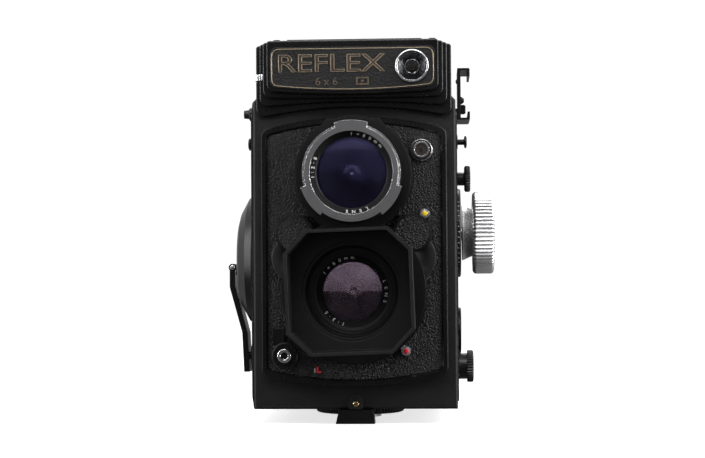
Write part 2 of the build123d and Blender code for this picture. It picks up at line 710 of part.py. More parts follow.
with BuildPart() as crank_gear:
    with BuildSketch(gear_plane(-37.9, CRANK_Y, CRANK_Z, TRAIN_ANGLE)):
        gear_outline(CRANK_TEETH)
        Circle(3.0, mode=Mode.SUBTRACT)
    extrude(amount=1.6)
write(crank_gear, "crank_gear")

with BuildPart() as idler_gear:
    with BuildSketch(gear_plane(-37.9, IDLER_Y, IDLER_Z, TRAIN_ANGLE + 180 / IDLER_TEETH)):
        gear_outline(IDLER_TEETH)
        Circle(1.5 + RUN, mode=Mode.SUBTRACT)
    extrude(amount=1.6)
write(idler_gear, "idler_gear")

with BuildPart() as take_up_drive:
    with BuildSketch(gear_plane(-37.9, SPOOL_Y, SPOOL_Z, TRAIN_ANGLE + 180)):
        gear_outline(SPOOL_TEETH)
    extrude(amount=1.6)
    with BuildSketch(side(-37.9)):
        with Locations((SPOOL_Y, SPOOL_Z)):
            Circle(3.0)
    extrude(amount=4.4)
    with BuildSketch(side(-33.5)):
        with Locations((SPOOL_Y, SPOOL_Z)):
            Rectangle(5.4, 1.6)
    extrude(amount=3.0)
write(take_up_drive, "take_up_drive")

with BuildPart() as take_up_spool:
    with BuildSketch(side(-32.8)):
        with Locations((SPOOL_Y, SPOOL_Z)):
            Circle(6.0)
    extrude(amount=65.6)
    for x in (-32.8, 31.5):
        with BuildSketch(side(x)):
            with Locations((SPOOL_Y, SPOOL_Z)):
                Circle(12.5)
        extrude(amount=1.3)
    with BuildSketch(side(-32.8)):
        with Locations((SPOOL_Y, SPOOL_Z)):
            Rectangle(5.6, 1.8)
    extrude(amount=4.0, mode=Mode.SUBTRACT)
    with BuildSketch(side(32.8)):
        with Locations((SPOOL_Y, SPOOL_Z)):
            Circle(2.55)
    extrude(amount=-8.0, mode=Mode.SUBTRACT)
write(take_up_spool, "take_up_spool")

with BuildPart() as counter_dial:
    with BuildSketch(side(-37.6)):
        with Locations((COUNTER_Y, COUNTER_Z)):
            Circle(9.0)
            Circle(1.5 + RUN, mode=Mode.SUBTRACT)
    extrude(amount=1.2)
write(counter_dial, "counter_dial")

counter_window = turned_x(15.0, 122.6, ((-SIDE - SKIN, 0), (-SIDE - SKIN, 3.9), (-41.8, 3.9), (-42.6, 3.0),
                                        (-45.4, 2.8), (-46.0, 1.9), (-47.9, 1.7), (-47.9, 0)))
write(counter_window, "counter_window")

# crank arm: a strap that leans in towards the body, forked around the hub's lug
ARM_T = 2.2
ARM_W = 10.4
with BuildPart() as crank_arm:
    with BuildSketch(front(CRANK_Y - ARM_W / 2)):
        with BuildLine():
            Polyline((-51.5, PIN_Z), (-51.5, 51.6), (-46.6, 33.6), (-45.9, 17.9), (-43.7, 17.9), (-44.4, 33.4),
                     (-49.3, 52.0), (-49.3, PIN_Z), close=True)
        make_face()
        with Locations((PIN_X, PIN_Z)):
            Circle(1.5)
    extrude(amount=-ARM_W)
    # fork slot for the lug
    with BuildSketch(front(CRANK_Y - 2.9)):
        with Locations((PIN_X, PIN_Z - 0.4)):
            Rectangle(5, 5.2)
    extrude(amount=-5.8, mode=Mode.SUBTRACT)
    with BuildSketch(front(CRANK_Y - ARM_W / 2)):
        with Locations((PIN_X, PIN_Z)):
            Circle(0.8 + RUN)
    extrude(amount=-ARM_W, mode=Mode.SUBTRACT)
    # stud with a head that holds the handle
    with BuildSketch(side(-45.0)):
        with Locations((CRANK_Y, HANDLE_Z)):
            Circle(1.6)
    extrude(amount=4.2)
    with BuildSketch(side(-40.8)):
        with Locations((CRANK_Y, HANDLE_Z)):
            Circle(2.6)
    extrude(amount=0.5)
write(crank_arm, "crank_arm")

crank_handle = turned_x(CRANK_Y, HANDLE_Z, ((-43.2, 1.65), (-43.2, 4.6), (-42.6, 5.4), (-40.9, 5.4), (-40.3, 4.8),
                                            (-40.3, 2.9), (-41.1, 2.9), (-41.1, 1.65)))
write(crank_handle, "crank_handle")

# ---- strap studs -----------------------------------------------------------------------------------
with BuildPart() as strap_studs:
    for sign in (-1, 1):
        with BuildSketch(Plane(origin=(0, STUD_Y, STUD_Z), x_dir=(1, 0, 0), z_dir=(0, -1, 0))):
            with BuildLine():
                Polyline((sign * SIDE, 0), (sign * SIDE, 2.8), (sign * (SIDE + 1.0), 2.8),
                         (sign * (SIDE + 1.0), 1.1), (sign * 41.9, 1.1), (sign * 42.2, 2.4),
                         (sign * 42.8, 2.4), (sign * 43.1, 1.6), (sign * 43.1, 0), close=True)
            make_face()
        revolve(axis=Axis((0, STUD_Y, STUD_Z), (1, 0, 0)))
write(strap_studs, "strap_studs")

# ---- right side: focus knob, depth ring, battery cap, spool knobs, accessory shoe ------------------
focus_knob = turned_x(0, FOCUS_Z, ((31.0, 0), (31.0, 3.0), (41.0, 3.0), (41.0, 11.0), (45.2, 9.2), (45.2, 15.3),
                                   (46.2, 16.3), (52.6, 16.3), (53.5, 15.4), (53.5, 12.0), (53.0, 11.6), (53.0, 0)))
write(focus_knob, "focus_knob")

depth_ring = turned_x(0, FOCUS_Z, ((SIDE, 3.0 + RUN), (SIDE, 17.6), (40.0, 17.6), (40.5, 17.1), (40.5, 3.0 + RUN)))
write(depth_ring, "depth_of_field_ring")

battery_cap = turned_x(BATTERY_Y, BATTERY_Z, ((35.4, 0), (35.4, 8.2), (38.9, 8.2), (38.9, 9.0), (39.9, 9.0),
                                              (40.3, 8.6), (40.3, 0)))
with BuildPart() as slotted_cap:
    add(battery_cap.part)
    with BuildSketch(side(40.3)):
        with Locations((BATTERY_Y, BATTERY_Z)):
            Rectangle(12, 1.6, rotation=25)
    extrude(amount=-0.8, mode=Mode.SUBTRACT)
write(slotted_cap, "battery_cap")

upper_knob = turned_x(SPOOL_Y, SPOOL_Z, ((31.2, 0), (31.2, 2.45), (33.6, 2.45), (33.6, 2.75), (42.5, 2.75),
                                         (42.5, 4.9), (43.0, 5.4), (44.5, 5.4), (45.0, 4.9), (45.0, 0)))
write(upper_knob, "upper_spool_knob")

lower_knob = turned_x(LOWER_KNOB_Y, LOWER_KNOB_Z, ((31.2, 0), (31.2, 2.45), (33.6, 2.45), (33.6, 2.75), (38.9, 2.75),
                                                   (38.9, 5.0), (42.3, 5.0), (42.3, 6.2), (44.4, 6.2), (44.9, 5.7),
                                                   (44.9, 0)))
write(lower_knob, "lower_spool_knob")

SHOE_LEN = 20.0
with BuildPart() as accessory_shoe:
    with BuildSketch(front(-SHOE_LEN / 2)):
        with BuildLine():
            Polyline((39.6, 136.9), (40.9, 136.9), (40.9, 136.5), (43.6, 136.5), (43.6, 134.2), (44.5, 134.2),
                     (44.5, 137.0), (44.1, 137.4), (39.6, 137.4), close=True)
        make_face()
        with BuildLine():
            Polyline((39.6, 137.1), (39.6, 117.0), (44.1, 117.0), (44.5, 117.4), (44.5, 120.2), (43.6, 120.2),
                     (43.6, 117.8), (40.9, 117.8), (40.9, 137.1), close=True)
        make_face()
    extrude(amount=-SHOE_LEN)
    # foot that screws to the side of the casting
    with BuildSketch(side(SIDE)):
        with Locations((0, 119.2)):
            Rectangle(SHOE_LEN, 4.4)
    extrude(amount=39.6 - SIDE)
write(accessory_shoe, "accessory_shoe")

# ---- moving front standard --------------------------------------------------------------------------
STANDARD = (35.0, 110.8, 115.6, 18.6, 14.5, 3.4, 3.4)
BEAD_INSIDE = (32.8, 108.8, 113.4, 20.6, 16.7, 2.2, 2.2)
SKIN_OUTLINE = (32.5, 108.5, 113.1, 20.9, 17.0, 2.0, 2.0)
BEAD_H = 1.2
with BuildPart() as standard_plate:
    with BuildSketch(front(STANDARD_BACK)):
        add(arched_outline(*STANDARD))
    extrude(amount=STANDARD_BACK - STANDARD_FACE)
    with BuildSketch(front(STANDARD_FACE)):
        add(arched_outline(*STANDARD))
        add(arched_outline(*BEAD_INSIDE), mode=Mode.SUBTRACT)
    extrude(amount=BEAD_H)
    chamfer(standard_plate.faces().sort_by(Axis.Y)[0].edges(), 0.4)
    # the lens board sits through the bead at the top
    with BuildSketch(front(STANDARD_FACE)):
        add(board_outline(0))
    extrude(amount=BEAD_H, mode=Mode.SUBTRACT)
    # shutter and viewing lens openings
    with BuildSketch(front(STANDARD_BACK)):
        with Locations((0, TAKE_Z)):
            Circle(20.05)
        with Locations((0, VIEW_Z)):
            Circle(15.55)
    extrude(amount=STANDARD_BACK - STANDARD_FACE, mode=Mode.SUBTRACT)
    # guide posts that slide in the casting's front wall
    with BuildSketch(front(STANDARD_BACK)):
        with Locations([(x, z) for x in (-POST_X, POST_X) for z in POST_HEIGHTS]):
            Circle(POST_R)
    extrude(amount=-8.5)
    # flanged post that guides the shutter button and holds the lock ring
    with BuildSketch(front(STANDARD_FACE)):
        with Locations((RELEASE_X, RELEASE_Z)):
            Circle(COLLAR_R)
    extrude(amount=3.4)
    with BuildSketch(front(STANDARD_FACE - 3.4)):
        with Locations((RELEASE_X, RELEASE_Z)):
            Circle(COLLAR_R + 0.6)
    extrude(amount=0.4)
    with BuildSketch(front(STANDARD_FACE - 3.8)):
        with Locations((RELEASE_X, RELEASE_Z)):
            Circle(BUTTON_R + RUN)
    extrude(amount=-6.0, mode=Mode.SUBTRACT)
write(standard_plate, "standard_plate")

SKIN_T = 0.7
with BuildPart() as front_leatherette:
    with BuildSketch(front(STANDARD_FACE)):
        add(arched_outline(*SKIN_OUTLINE))
        add(board_outline(0.2), mode=Mode.SUBTRACT)
        with Locations((RELEASE_X, RELEASE_Z)):
            Circle(COLLAR_R + 0.3, mode=Mode.SUBTRACT)
        with Locations((25.5, 102.8)):
            Circle(4.4, mode=Mode.SUBTRACT)
    extrude(amount=SKIN_T)
    with BuildSketch(front(BOARD_FACE)):
        with Locations((-EAR_X, EAR_Z), (EAR_X, EAR_Z)):
            Circle(EAR_R - 0.9)
    extrude(amount=0.4)
write(front_leatherette, "front_leatherette")

DIAL_BACK = -41.5
DIAL_FRONT = -43.9
DIAL_R = 10.0
LEVER_BACK = -40.3
LEVER_FRONT = -41.1
with BuildPart() as lens_board:
    for margin, y_front in ((0, BOARD_FACE + 0.6), (-0.5, BOARD_FACE)):
        with BuildSketch(front(STANDARD_FACE)):
            add(board_outline(margin))
        extrude(amount=STANDARD_FACE - y_front)
    with BuildSketch(front(STANDARD_FACE)):
        with Locations((0, VIEW_Z)):
            Circle(15.55)
        with Locations((0, TAKE_Z)):
            Circle(13.9)
    extrude(amount=STANDARD_FACE - BOARD_FACE, mode=Mode.SUBTRACT)
    # room for the shutter housing behind
    with BuildSketch(front(STANDARD_FACE)):
        with Locations((0, TAKE_Z)):
            Circle(20.05)
    extrude(amount=1.9, mode=Mode.SUBTRACT)
    # pockets of the thumb wheels, with a stud each
    with BuildSketch(front(DIAL_BACK + 0.3)):
        with Locations((-DIAL_X, DIAL_Z), (DIAL_X, DIAL_Z)):
            Circle(DIAL_R + 0.5)
    extrude(amount=DIAL_BACK - DIAL_FRONT + 0.6, mode=Mode.SUBTRACT)
    with BuildSketch(front(DIAL_BACK + 0.3)):
        with Locations((-DIAL_X, DIAL_Z), (DIAL_X, DIAL_Z)):
            Circle(1.5)
    extrude(amount=DIAL_BACK - DIAL_FRONT + 0.6)
    # slots for the two levers that turn about the taking lens
    with BuildSketch(front(LEVER_BACK + 0.3)):
        for low, high in ((28.0, 58.0), (-96.0, -40.0)):
            with BuildLine():
                start = PolarLine((0, TAKE_Z), 60, low)
                end = PolarLine((0, TAKE_Z), 60, high)
                Line(start @ 1, end @ 1)
            make_face()
        with Locations((0, TAKE_Z)):
            Circle(21.6, mode=Mode.SUBTRACT)
    extrude(amount=LEVER_BACK - LEVER_FRONT + 0.6, mode=Mode.SUBTRACT)
write(lens_board, "lens_board")

for node, x in (("aperture_dial", -DIAL_X), ("shutter_speed_dial", DIAL_X)):
    with BuildPart() as dial:
        with BuildSketch(front(DIAL_BACK)):
            with Locations((x, DIAL_Z)):
                Circle(DIAL_R)
                Circle(1.5 + RUN, mode=Mode.SUBTRACT)
        extrude(amount=DIAL_BACK - DIAL_FRONT)
        chamfer(dial.edges().filter_by(GeomType.CIRCLE).group_by(SortBy.RADIUS)[-1], 0.4)
    write(dial, node)


def shutter_lever(angle, reach, node):
    """Thin arm that turns about the taking lens, with a round button at its end."""
    arm_plane = Plane(origin=(0, LEVER_BACK, TAKE_Z), x_dir=(cos(radians(angle)), 0, sin(radians(angle))),
                      z_dir=(0, -1, 0))
    with BuildPart() as lever:
        with BuildSketch(arm_plane):
            with Locations(((22.2 + reach) / 2, 0)):
                Rectangle(reach - 22.2, 1.9)
            with Locations((reach, 0)):
                Circle(1.75)
        extrude(amount=LEVER_BACK - LEVER_FRONT)
        with BuildSketch(arm_plane):
            with Locations((reach, 0)):
                Circle(1.2)
        extrude(amount=LEVER_BACK - LEVER_FRONT + 0.9)
    write(lever, node)


shutter_lever(47.4, 39.3, "flash_sync_lever")
shutter_lever(-49.4, 29.6, "self_timer_lever")

# shutter housing between the standard and the board, with its blades
shutter_housing = turned(0, TAKE_Z, ((20.0, -33.4), (20.0, -41.0), (13.8, -41.0), (13.8, -45.0), (12.2, -45.0),
                                     (12.2, -40.0), (10.6, -39.4), (10.6, -35.4), (12.0, -35.0), (12.0, -33.4)))
write(shutter_housing, "shutter_housing")

BLADES = 5
with BuildPart() as shutter_blades:
    with BuildSketch(front(-37.3)):
        with Locations((0, TAKE_Z)):
            with PolarLocations(0, BLADES):
                Polygon((0.25, 0.4), (10.3, 0.4), (10.3 * cos(radians(66)), 10.3 * sin(radians(66))), align=None)
    extrude(amount=0.2)
write(shutter_blades, "shutter_blades")

taking_barrel = turned(0, TAKE_Z, ((12.2, -45.0), (21.0, -45.0), (21.0, -47.6), (18.6, -48.2), (18.6, -55.6),
                                   (17.4, -56.2), (16.4, -56.2), (16.4, -54.4), (13.2, -53.4), (11.3, -52.2),
                                   (11.3, -46.6), (12.2, -46.6)))
write(taking_barrel, "taking_lens_barrel")


with BuildPart() as taking_lens_elements:
    add(lens_element(0, TAKE_Z, 11.25, -50.6, -47.4, 1.6, -0.3))
    add(lens_element(0, TAKE_Z, 10.5, -39.2, -38.2, -0.4, -0.2))
    add(lens_element(0, TAKE_Z, 10.5, -36.6, -35.8, -0.1, 1.5))
write(taking_lens_elements, "taking_lens_elements")

viewing_barrel = turned(0, VIEW_Z, ((13.6, -34.6), (15.5, -34.6), (15.5, -45.0), (18.2, -45.0), (18.2, -55.4),
                                    (15.2, -55.4), (15.2, -56.6), (13.4, -55.4), (13.4, -50.0), (13.6, -50.0)))
write(viewing_barrel, "viewing_lens_barrel")

with BuildPart() as bayonet_ring:
    with BuildSketch(front(-55.4)):
        with Locations((0, VIEW_Z)):
            Circle(18.0)
            Circle(15.25, mode=Mode.SUBTRACT)
    extrude(amount=2.6)
    with BuildSketch(front(-57.0)):
        with Locations((0, VIEW_Z)):
            Circle(17.3)
            Circle(15.25, mode=Mode.SUBTRACT)
            for middle in (90, 215, 325):
                with BuildLine():
                    first = CenterArc((0, VIEW_Z), 19.2, middle - 19, 38)
                    second = CenterArc((0, VIEW_Z), 16.8, middle - 19, 38)
                    Line(first @ 0, second @ 0)
                    Line(first @ 1, second @ 1)
                make_face()
    extrude(amount=1.4)
write(bayonet_ring, "viewing_bayonet_ring")

with BuildPart() as viewing_lens_elements:
    add(lens_element(0, VIEW_Z, 13.3, -53.6, -50.4, 1.9, -0.3))
    add(lens_element(0, VIEW_Z, 13.5, -38.0, -36.2, 0.4, 1.2))
write(viewing_lens_elements, "viewing_lens_elements")

pc_socket = turned(25.5, 102.8, ((0, STANDARD_FACE), (4.25, STANDARD_FACE), (4.25, -40.9), (3.9, -41.3),
                                 (3.2, -41.3), (3.0, -42.6), (2.4, -42.6), (2.4, -40.4), (0.55, -40.4),
                                 (0.55, -42.3), (0, -42.3)))
write(pc_socket, "flash_socket")

# ---- shutter release ----------------------------------------------------------------------------------
with BuildPart() as shutter_button:
    with BuildSketch(front(-40.4)):
        with Locations((RELEASE_X, RELEASE_Z)):
            Circle(BUTTON_R)
    extrude(amount=5.0)
    # cable release hole
    with BuildSketch(front(-45.4)):
        with Locations((RELEASE_X, RELEASE_Z)):
            Circle(1.3)
    extrude(amount=-1.8, mode=Mode.SUBTRACT)
    fillet(shutter_button.faces().sort_by(Axis.Y)[0].edges(), 0.35)
write(shutter_button, "shutter_button")

with BuildPart() as release_lock_ring:
    with BuildSketch(front(-40.3)):
        with Locations((RELEASE_X, RELEASE_Z)):
            Circle(4.9)
            Circle(COLLAR_R + RUN, mode=Mode.SUBTRACT)
    extrude(amount=2.2)
    chamfer(release_lock_ring.edges().filter_by(GeomType.CIRCLE).sort_by(Axis.Y)[0], 0.4)
    with BuildSketch(front(-40.7)):
        with Locations((RELEASE_X - 2.4, RELEASE_Z + 6.9)):
            Rectangle(4.4, 6.2)
        with Locations((RELEASE_X, RELEASE_Z)):
            Circle(4.0, mode=Mode.SUBTRACT)
    extrude(amount=1.4)
write(release_lock_ring, "release_lock_ring")

# ---- lens hood: square, with cut corners, on a round sleeve ----------------------------------------------
HOOD_W = 45.4
HOOD_H = 44.8
HOOD_CORNER = 8.2
HOOD_WALL = 1.2
HOOD_BACK = -59.8
HOOD_FRONT = -78.0
with BuildPart() as lens_hood:
    hood_plane = Plane(origin=(0, HOOD_BACK, TAKE_Z + 0.2), x_dir=(cos(radians(2.0)), 0, sin(radians(2.0))),
                       z_dir=(0, -1, 0))
    with BuildSketch(hood_plane) as hood_outline:
        Rectangle(HOOD_W, HOOD_H)
        chamfer(hood_outline.vertices(), HOOD_CORNER)
    extrude(amount=HOOD_BACK - HOOD_FRONT)
    with BuildSketch(hood_plane.offset(1.4)) as hood_inside:
        Rectangle(HOOD_W - 2 * HOOD_WALL, HOOD_H - 2 * HOOD_WALL)
        chamfer(hood_inside.vertices(), HOOD_CORNER - 0.7)
    extrude(amount=20, mode=Mode.SUBTRACT)
    with BuildSketch(front(HOOD_BACK)):
        with Locations((0, TAKE_Z)):
            Circle(18.2)
    extrude(amount=1.4, mode=Mode.SUBTRACT)
    with BuildSketch(front(-50.0)):
        with Locations((0, TAKE_Z)):
            Circle(20.6)
            Circle(18.6 + RUN, mode=Mode.SUBTRACT)
    extrude(amount=9.8)
    with BuildSketch(front(-56.6)):
        with Locations((0, TAKE_Z)):
            Circle(20.6)
            Circle(16.9, mode=Mode.SUBTRACT)
    extrude(amount=3.2)
write(lens_hood, "lens_hood")

# ---- back door: rear panel and base plate in one L, latch ring, latch bar, pressure plate --------------
DOOR_X = 38.2
DOOR_IN = 34.9
DOOR_OUT = 37.4
DOOR_TOP = 118.8
BASE_X_IN = INNER - 0.3
BASE_T = 1.8
with BuildPart() as back_door:
    with BuildSketch(front(DOOR_IN)):
        with Locations((0, (BODY_BOTTOM + DOOR_TOP) / 2)):
            RectangleRounded(2 * DOOR_X, DOOR_TOP - BODY_BOTTOM, 1.5)
    extrude(amount=DOOR_IN - DOOR_OUT)
    with BuildSketch(Plane.XY.offset(BODY_BOTTOM)):
        with Locations((0, (inside + 0.4 + DOOR_OUT - 1) / 2)):
            Rectangle(2 * BASE_X_IN, DOOR_OUT - 1 - inside - 0.4)
    extrude(amount=BASE_T)
    # front foot
    with BuildSketch(front(-29.5)):
        with BuildLine():
            Polyline((-7.6, 0), (7.2, 0), (6.9, 3.0), (6.2, 5.2), (-6.2, 5.2), (-6.9, 3.0), close=True)
        make_face()
    extrude(amount=7.3)
    with BuildSketch(Plane.XY.offset(5.0)):
        with Locations((0, -30.9)):
            Rectangle(12, 2.8)
    extrude(amount=0.8)
    # clearance hole for the tripod socket
    with BuildSketch(Plane.XY.offset(BODY_BOTTOM)):
        Circle(4.4)
    extrude(amount=BASE_T, mode=Mode.SUBTRACT)
    # hinge knuckles
    for x in (-23.4, 12.4):
        with BuildSketch(side(x)):
            with Locations((DOOR_HINGE_Y, DOOR_HINGE_Z)):
                Circle(1.8)
            with Locations((DOOR_HINGE_Y, (DOOR_TOP + DOOR_HINGE_Z) / 2 - 0.4)):
                Rectangle(1.6, DOOR_HINGE_Z - DOOR_TOP + 0.8)
        extrude(amount=11)
        with BuildSketch(side(x)):
            with Locations((DOOR_HINGE_Y, DOOR_HINGE_Z)):
                Circle(0.9 + RUN)
        extrude(amount=11, mode=Mode.SUBTRACT)
write(back_door, "back_door")

with BuildPart() as back_leatherette:
    with BuildSketch(front(DOOR_OUT)):
        with Locations((0, (BODY_BOTTOM + DOOR_TOP) / 2)):
            RectangleRounded(72, DOOR_TOP - BODY_BOTTOM - 6, 3)
    extrude(amount=-0.6)
write(back_leatherette, "back_leatherette")

with BuildPart() as tripod_socket:
    with BuildSketch(Plane.XY):
        Circle(8.4)
    extrude(amount=RING_Z + 0.8)
    with BuildSketch(Plane.XY):
        Circle(7.4)
    extrude(amount=BODY_BOTTOM)
    with BuildSketch(Plane.XY.offset(BODY_BOTTOM)):
        Circle(4.35)
    extrude(amount=3.6)
    with BuildSketch(Plane.XY):
        Circle(SOCKET_R)
    extrude(amount=8.0, mode=Mode.SUBTRACT)
write(tripod_socket, "tripod_socket")

with BuildPart() as latch_ring:
    with BuildSketch(Plane.XY.offset(RING_Z)):
        Circle(RING_R)
        Circle(7.4 + RUN, mode=Mode.SUBTRACT)
    extrude(amount=5.1 - RING_Z)
    with BuildSketch(Plane.XY.offset(RING_Z)):
        Circle(8.7)
    extrude(amount=1.1, mode=Mode.SUBTRACT)
    chamfer(latch_ring.edges().filter_by(GeomType.CIRCLE).group_by(SortBy.RADIUS)[-1], 0.5)
write(latch_ring, "base_latch_ring")

with BuildPart() as latch_bar:
    with BuildSketch(Plane.XY.offset(BODY_BOTTOM + BASE_T + 0.1)):
        with Locations((0, -21.5)):
            Rectangle(10, 21.0)
    extrude(amount=1.2)
write(latch_bar, "base_latch_bar")

with BuildPart() as pressure_plate:
    with BuildSketch(front(31.9)):
        with Locations((0, TAKE_Z)):
            RectangleRounded(59, 58, 2)
    extrude(amount=1.1)
    with BuildSketch(front(31.9)):
        with Locations((0, TAKE_Z - 20), (0, TAKE_Z + 20)):
            Circle(2.0)
    extrude(amount=-1.6)
write(pressure_plate, "pressure_plate")
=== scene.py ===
"""Twin lens reflex camera: surfaces, small details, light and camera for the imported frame."""
from math import cos, degrees, hypot, pi, radians, sin

import bmesh
import bpy
from mathutils import Matrix, Quaternion, Vector


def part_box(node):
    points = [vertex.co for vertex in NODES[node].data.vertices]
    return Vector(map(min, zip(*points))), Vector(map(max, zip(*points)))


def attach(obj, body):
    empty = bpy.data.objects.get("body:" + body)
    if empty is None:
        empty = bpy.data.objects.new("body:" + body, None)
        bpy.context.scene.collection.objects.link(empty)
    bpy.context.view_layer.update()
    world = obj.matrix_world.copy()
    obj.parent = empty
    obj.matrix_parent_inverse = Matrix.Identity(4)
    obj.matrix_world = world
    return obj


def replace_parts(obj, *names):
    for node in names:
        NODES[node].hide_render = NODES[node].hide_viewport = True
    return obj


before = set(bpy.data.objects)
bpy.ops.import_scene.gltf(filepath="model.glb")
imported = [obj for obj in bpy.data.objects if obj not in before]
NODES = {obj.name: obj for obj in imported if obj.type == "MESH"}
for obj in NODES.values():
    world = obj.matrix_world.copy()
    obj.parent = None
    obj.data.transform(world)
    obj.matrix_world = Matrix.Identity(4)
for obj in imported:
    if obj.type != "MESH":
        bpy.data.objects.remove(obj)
scene = bpy.context.scene

for name in ("Cube", "Light", "Camera"):
    if name in bpy.data.objects:
        bpy.data.objects.remove(bpy.data.objects[name])

# ---- camera --------------------------------------------------------------------------------------
camera_data = bpy.data.cameras.new("camera")
camera_data.lens = 81.0
camera_data.sensor_width = 36.0
camera_data.clip_start = 0.02
camera = bpy.data.objects.new("camera", camera_data)
scene.collection.objects.link(camera)
scene.camera = camera
EYE = Vector((0.0310, -0.6349, 0.0555))
TARGET = Vector((-0.00079, -0.036, 0.07346))
ROLL = radians(-0.39)
aim = (TARGET - EYE).to_track_quat("-Z", "Y") @ Quaternion((0, 0, 1), ROLL)
camera.matrix_world = Matrix.Translation(EYE) @ aim.to_matrix().to_4x4()
scene.view_settings.view_transform = "Standard"
scene.view_settings.exposure = 0.0

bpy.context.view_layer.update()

MM_PER_M = 1000


# ---- material building blocks --------------------------------------------------------------------
class Graph:
    """A material's node tree with short calls for the nodes used here."""

    def __init__(self, name):
        self.material = bpy.data.materials.new(name)
        self.material.use_nodes = True
        self.tree = self.material.node_tree
        self.tree.nodes.clear()
        self.shader = self.node("ShaderNodeBsdfPrincipled")
        self.output = self.node("ShaderNodeOutputMaterial")
        self.link(self.shader.outputs[0], self.output.inputs["Surface"])
        self.coords = self.node("ShaderNodeTexCoord").outputs["Object"]

    def node(self, kind, **settings):
        made = self.tree.nodes.new(kind)
        for key, value in settings.items():
            setattr(made, key, value)
        return made

    def link(self, source, target):
        self.tree.links.new(source, target)

    def math(self, operation, a, b=0.5, clamp=False):
        made = self.node("ShaderNodeMath", operation=operation, use_clamp=clamp)
        for socket, value in zip(made.inputs, (a, b)):
            if isinstance(value, (int, float)):
                socket.default_value = value
            else:
                self.link(value, socket)
        return made.outputs[0]

    def noise(self, per_mm, detail=2.0, distortion=0.0, coords=None):
        made = self.node("ShaderNodeTexNoise")
        made.inputs["Scale"].default_value = per_mm * MM_PER_M
        made.inputs["Detail"].default_value = detail
        made.inputs["Distortion"].default_value = distortion
        self.link(coords or self.coords, made.inputs["Vector"])
        return made.outputs["Fac"]

    def remap(self, value, low, high, to_low, to_high):
        made = self.node("ShaderNodeMapRange")
        self.link(value, made.inputs["Value"])
        limits = {"From Min": low, "From Max": high, "To Min": to_low, "To Max": to_high}
        for key, number in limits.items():
            made.inputs[key].default_value = number
        return made.outputs[0]

    def mix(self, factor, first, second):
        made = self.node("ShaderNodeMix", data_type="RGBA")
        self.link(factor, made.inputs[0])
        for socket, value in ((made.inputs[6], first), (made.inputs[7], second)):
            if isinstance(value, (tuple, list)):
                socket.default_value = (*value[:3], 1)
            else:
                self.link(value, socket)
        return made.outputs[2]

    def wobbled(self, per_mm, amount_mm):
        """Coordinates pushed about by a noise, so that cells don't look regular."""
        made = self.node("ShaderNodeTexNoise")
        made.inputs["Scale"].default_value = per_mm * MM_PER_M
        self.link(self.coords, made.inputs["Vector"])
        centred = self.node("ShaderNodeVectorMath", operation="SUBTRACT")
        self.link(made.outputs["Color"], centred.inputs[0])
        centred.inputs[1].default_value = (0.5, 0.5, 0.5)
        scaled = self.node("ShaderNodeVectorMath", operation="SCALE")
        self.link(centred.outputs[0], scaled.inputs[0])
        scaled.inputs["Scale"].default_value = amount_mm / MM_PER_M
        total = self.node("ShaderNodeVectorMath", operation="ADD")
        self.link(self.coords, total.inputs[0])
        self.link(scaled.outputs[0], total.inputs[1])
        return total.outputs[0]

    def finish(self, colour, roughness, height=None, height_mm=0.02, edge_mm=0.0, edge_highlight_colour=None,
               edge_highlight_strength=0.6, **constants):
        """Wire colour, roughness, relief and softened edges into the shader; an edge colour, when given, is
        mixed in as a painted highlight along the edges, in patches.
        """
        normal = None
        if edge_mm:
            bevel = self.node("ShaderNodeBevel", samples=4)
            bevel.inputs["Radius"].default_value = edge_mm / MM_PER_M
            normal = bevel.outputs[0]
            # painted highlight: where the bevelled normal turns away from the face, the colour is mixed in
            # patches towards the lighter edge colour
            if edge_highlight_colour:
                flat = self.node("ShaderNodeNewGeometry").outputs["Normal"]
                dot = self.node("ShaderNodeVectorMath", operation="DOT_PRODUCT")
                self.link(normal, dot.inputs[0])
                self.link(flat, dot.inputs[1])
                patchy = self.remap(self.noise(0.35, 4.0), 0.35, 0.65, 0.25, 1.0)
                edge = self.remap(dot.outputs["Value"], 0.99, 0.80, 0.0, edge_highlight_strength)
                painted_edge_highlight = self.math("MULTIPLY", edge, patchy, clamp=True)
                colour = self.mix(painted_edge_highlight, colour, edge_highlight_colour)
        if height is not None:
            bump = self.node("ShaderNodeBump")
            bump.inputs["Strength"].default_value = 1.0
            bump.inputs["Distance"].default_value = height_mm / MM_PER_M
            self.link(height, bump.inputs["Height"])
            if normal is not None:
                self.link(normal, bump.inputs["Normal"])
            normal = bump.outputs[0]
        if normal is not None:
            self.link(normal, self.shader.inputs["Normal"])
        if isinstance(colour, (tuple, list)):
            self.shader.inputs["Base Color"].default_value = (*colour[:3], 1)
        else:
            self.link(colour, self.shader.inputs["Base Color"])
        if isinstance(roughness, (int, float)):
            self.shader.inputs["Roughness"].default_value = roughness
        else:
            self.link(roughness, self.shader.inputs["Roughness"])
        for key, value in constants.items():
            self.shader.inputs[key.replace("_", " ").title().replace("Ior", "IOR")].default_value = value
        return self.material


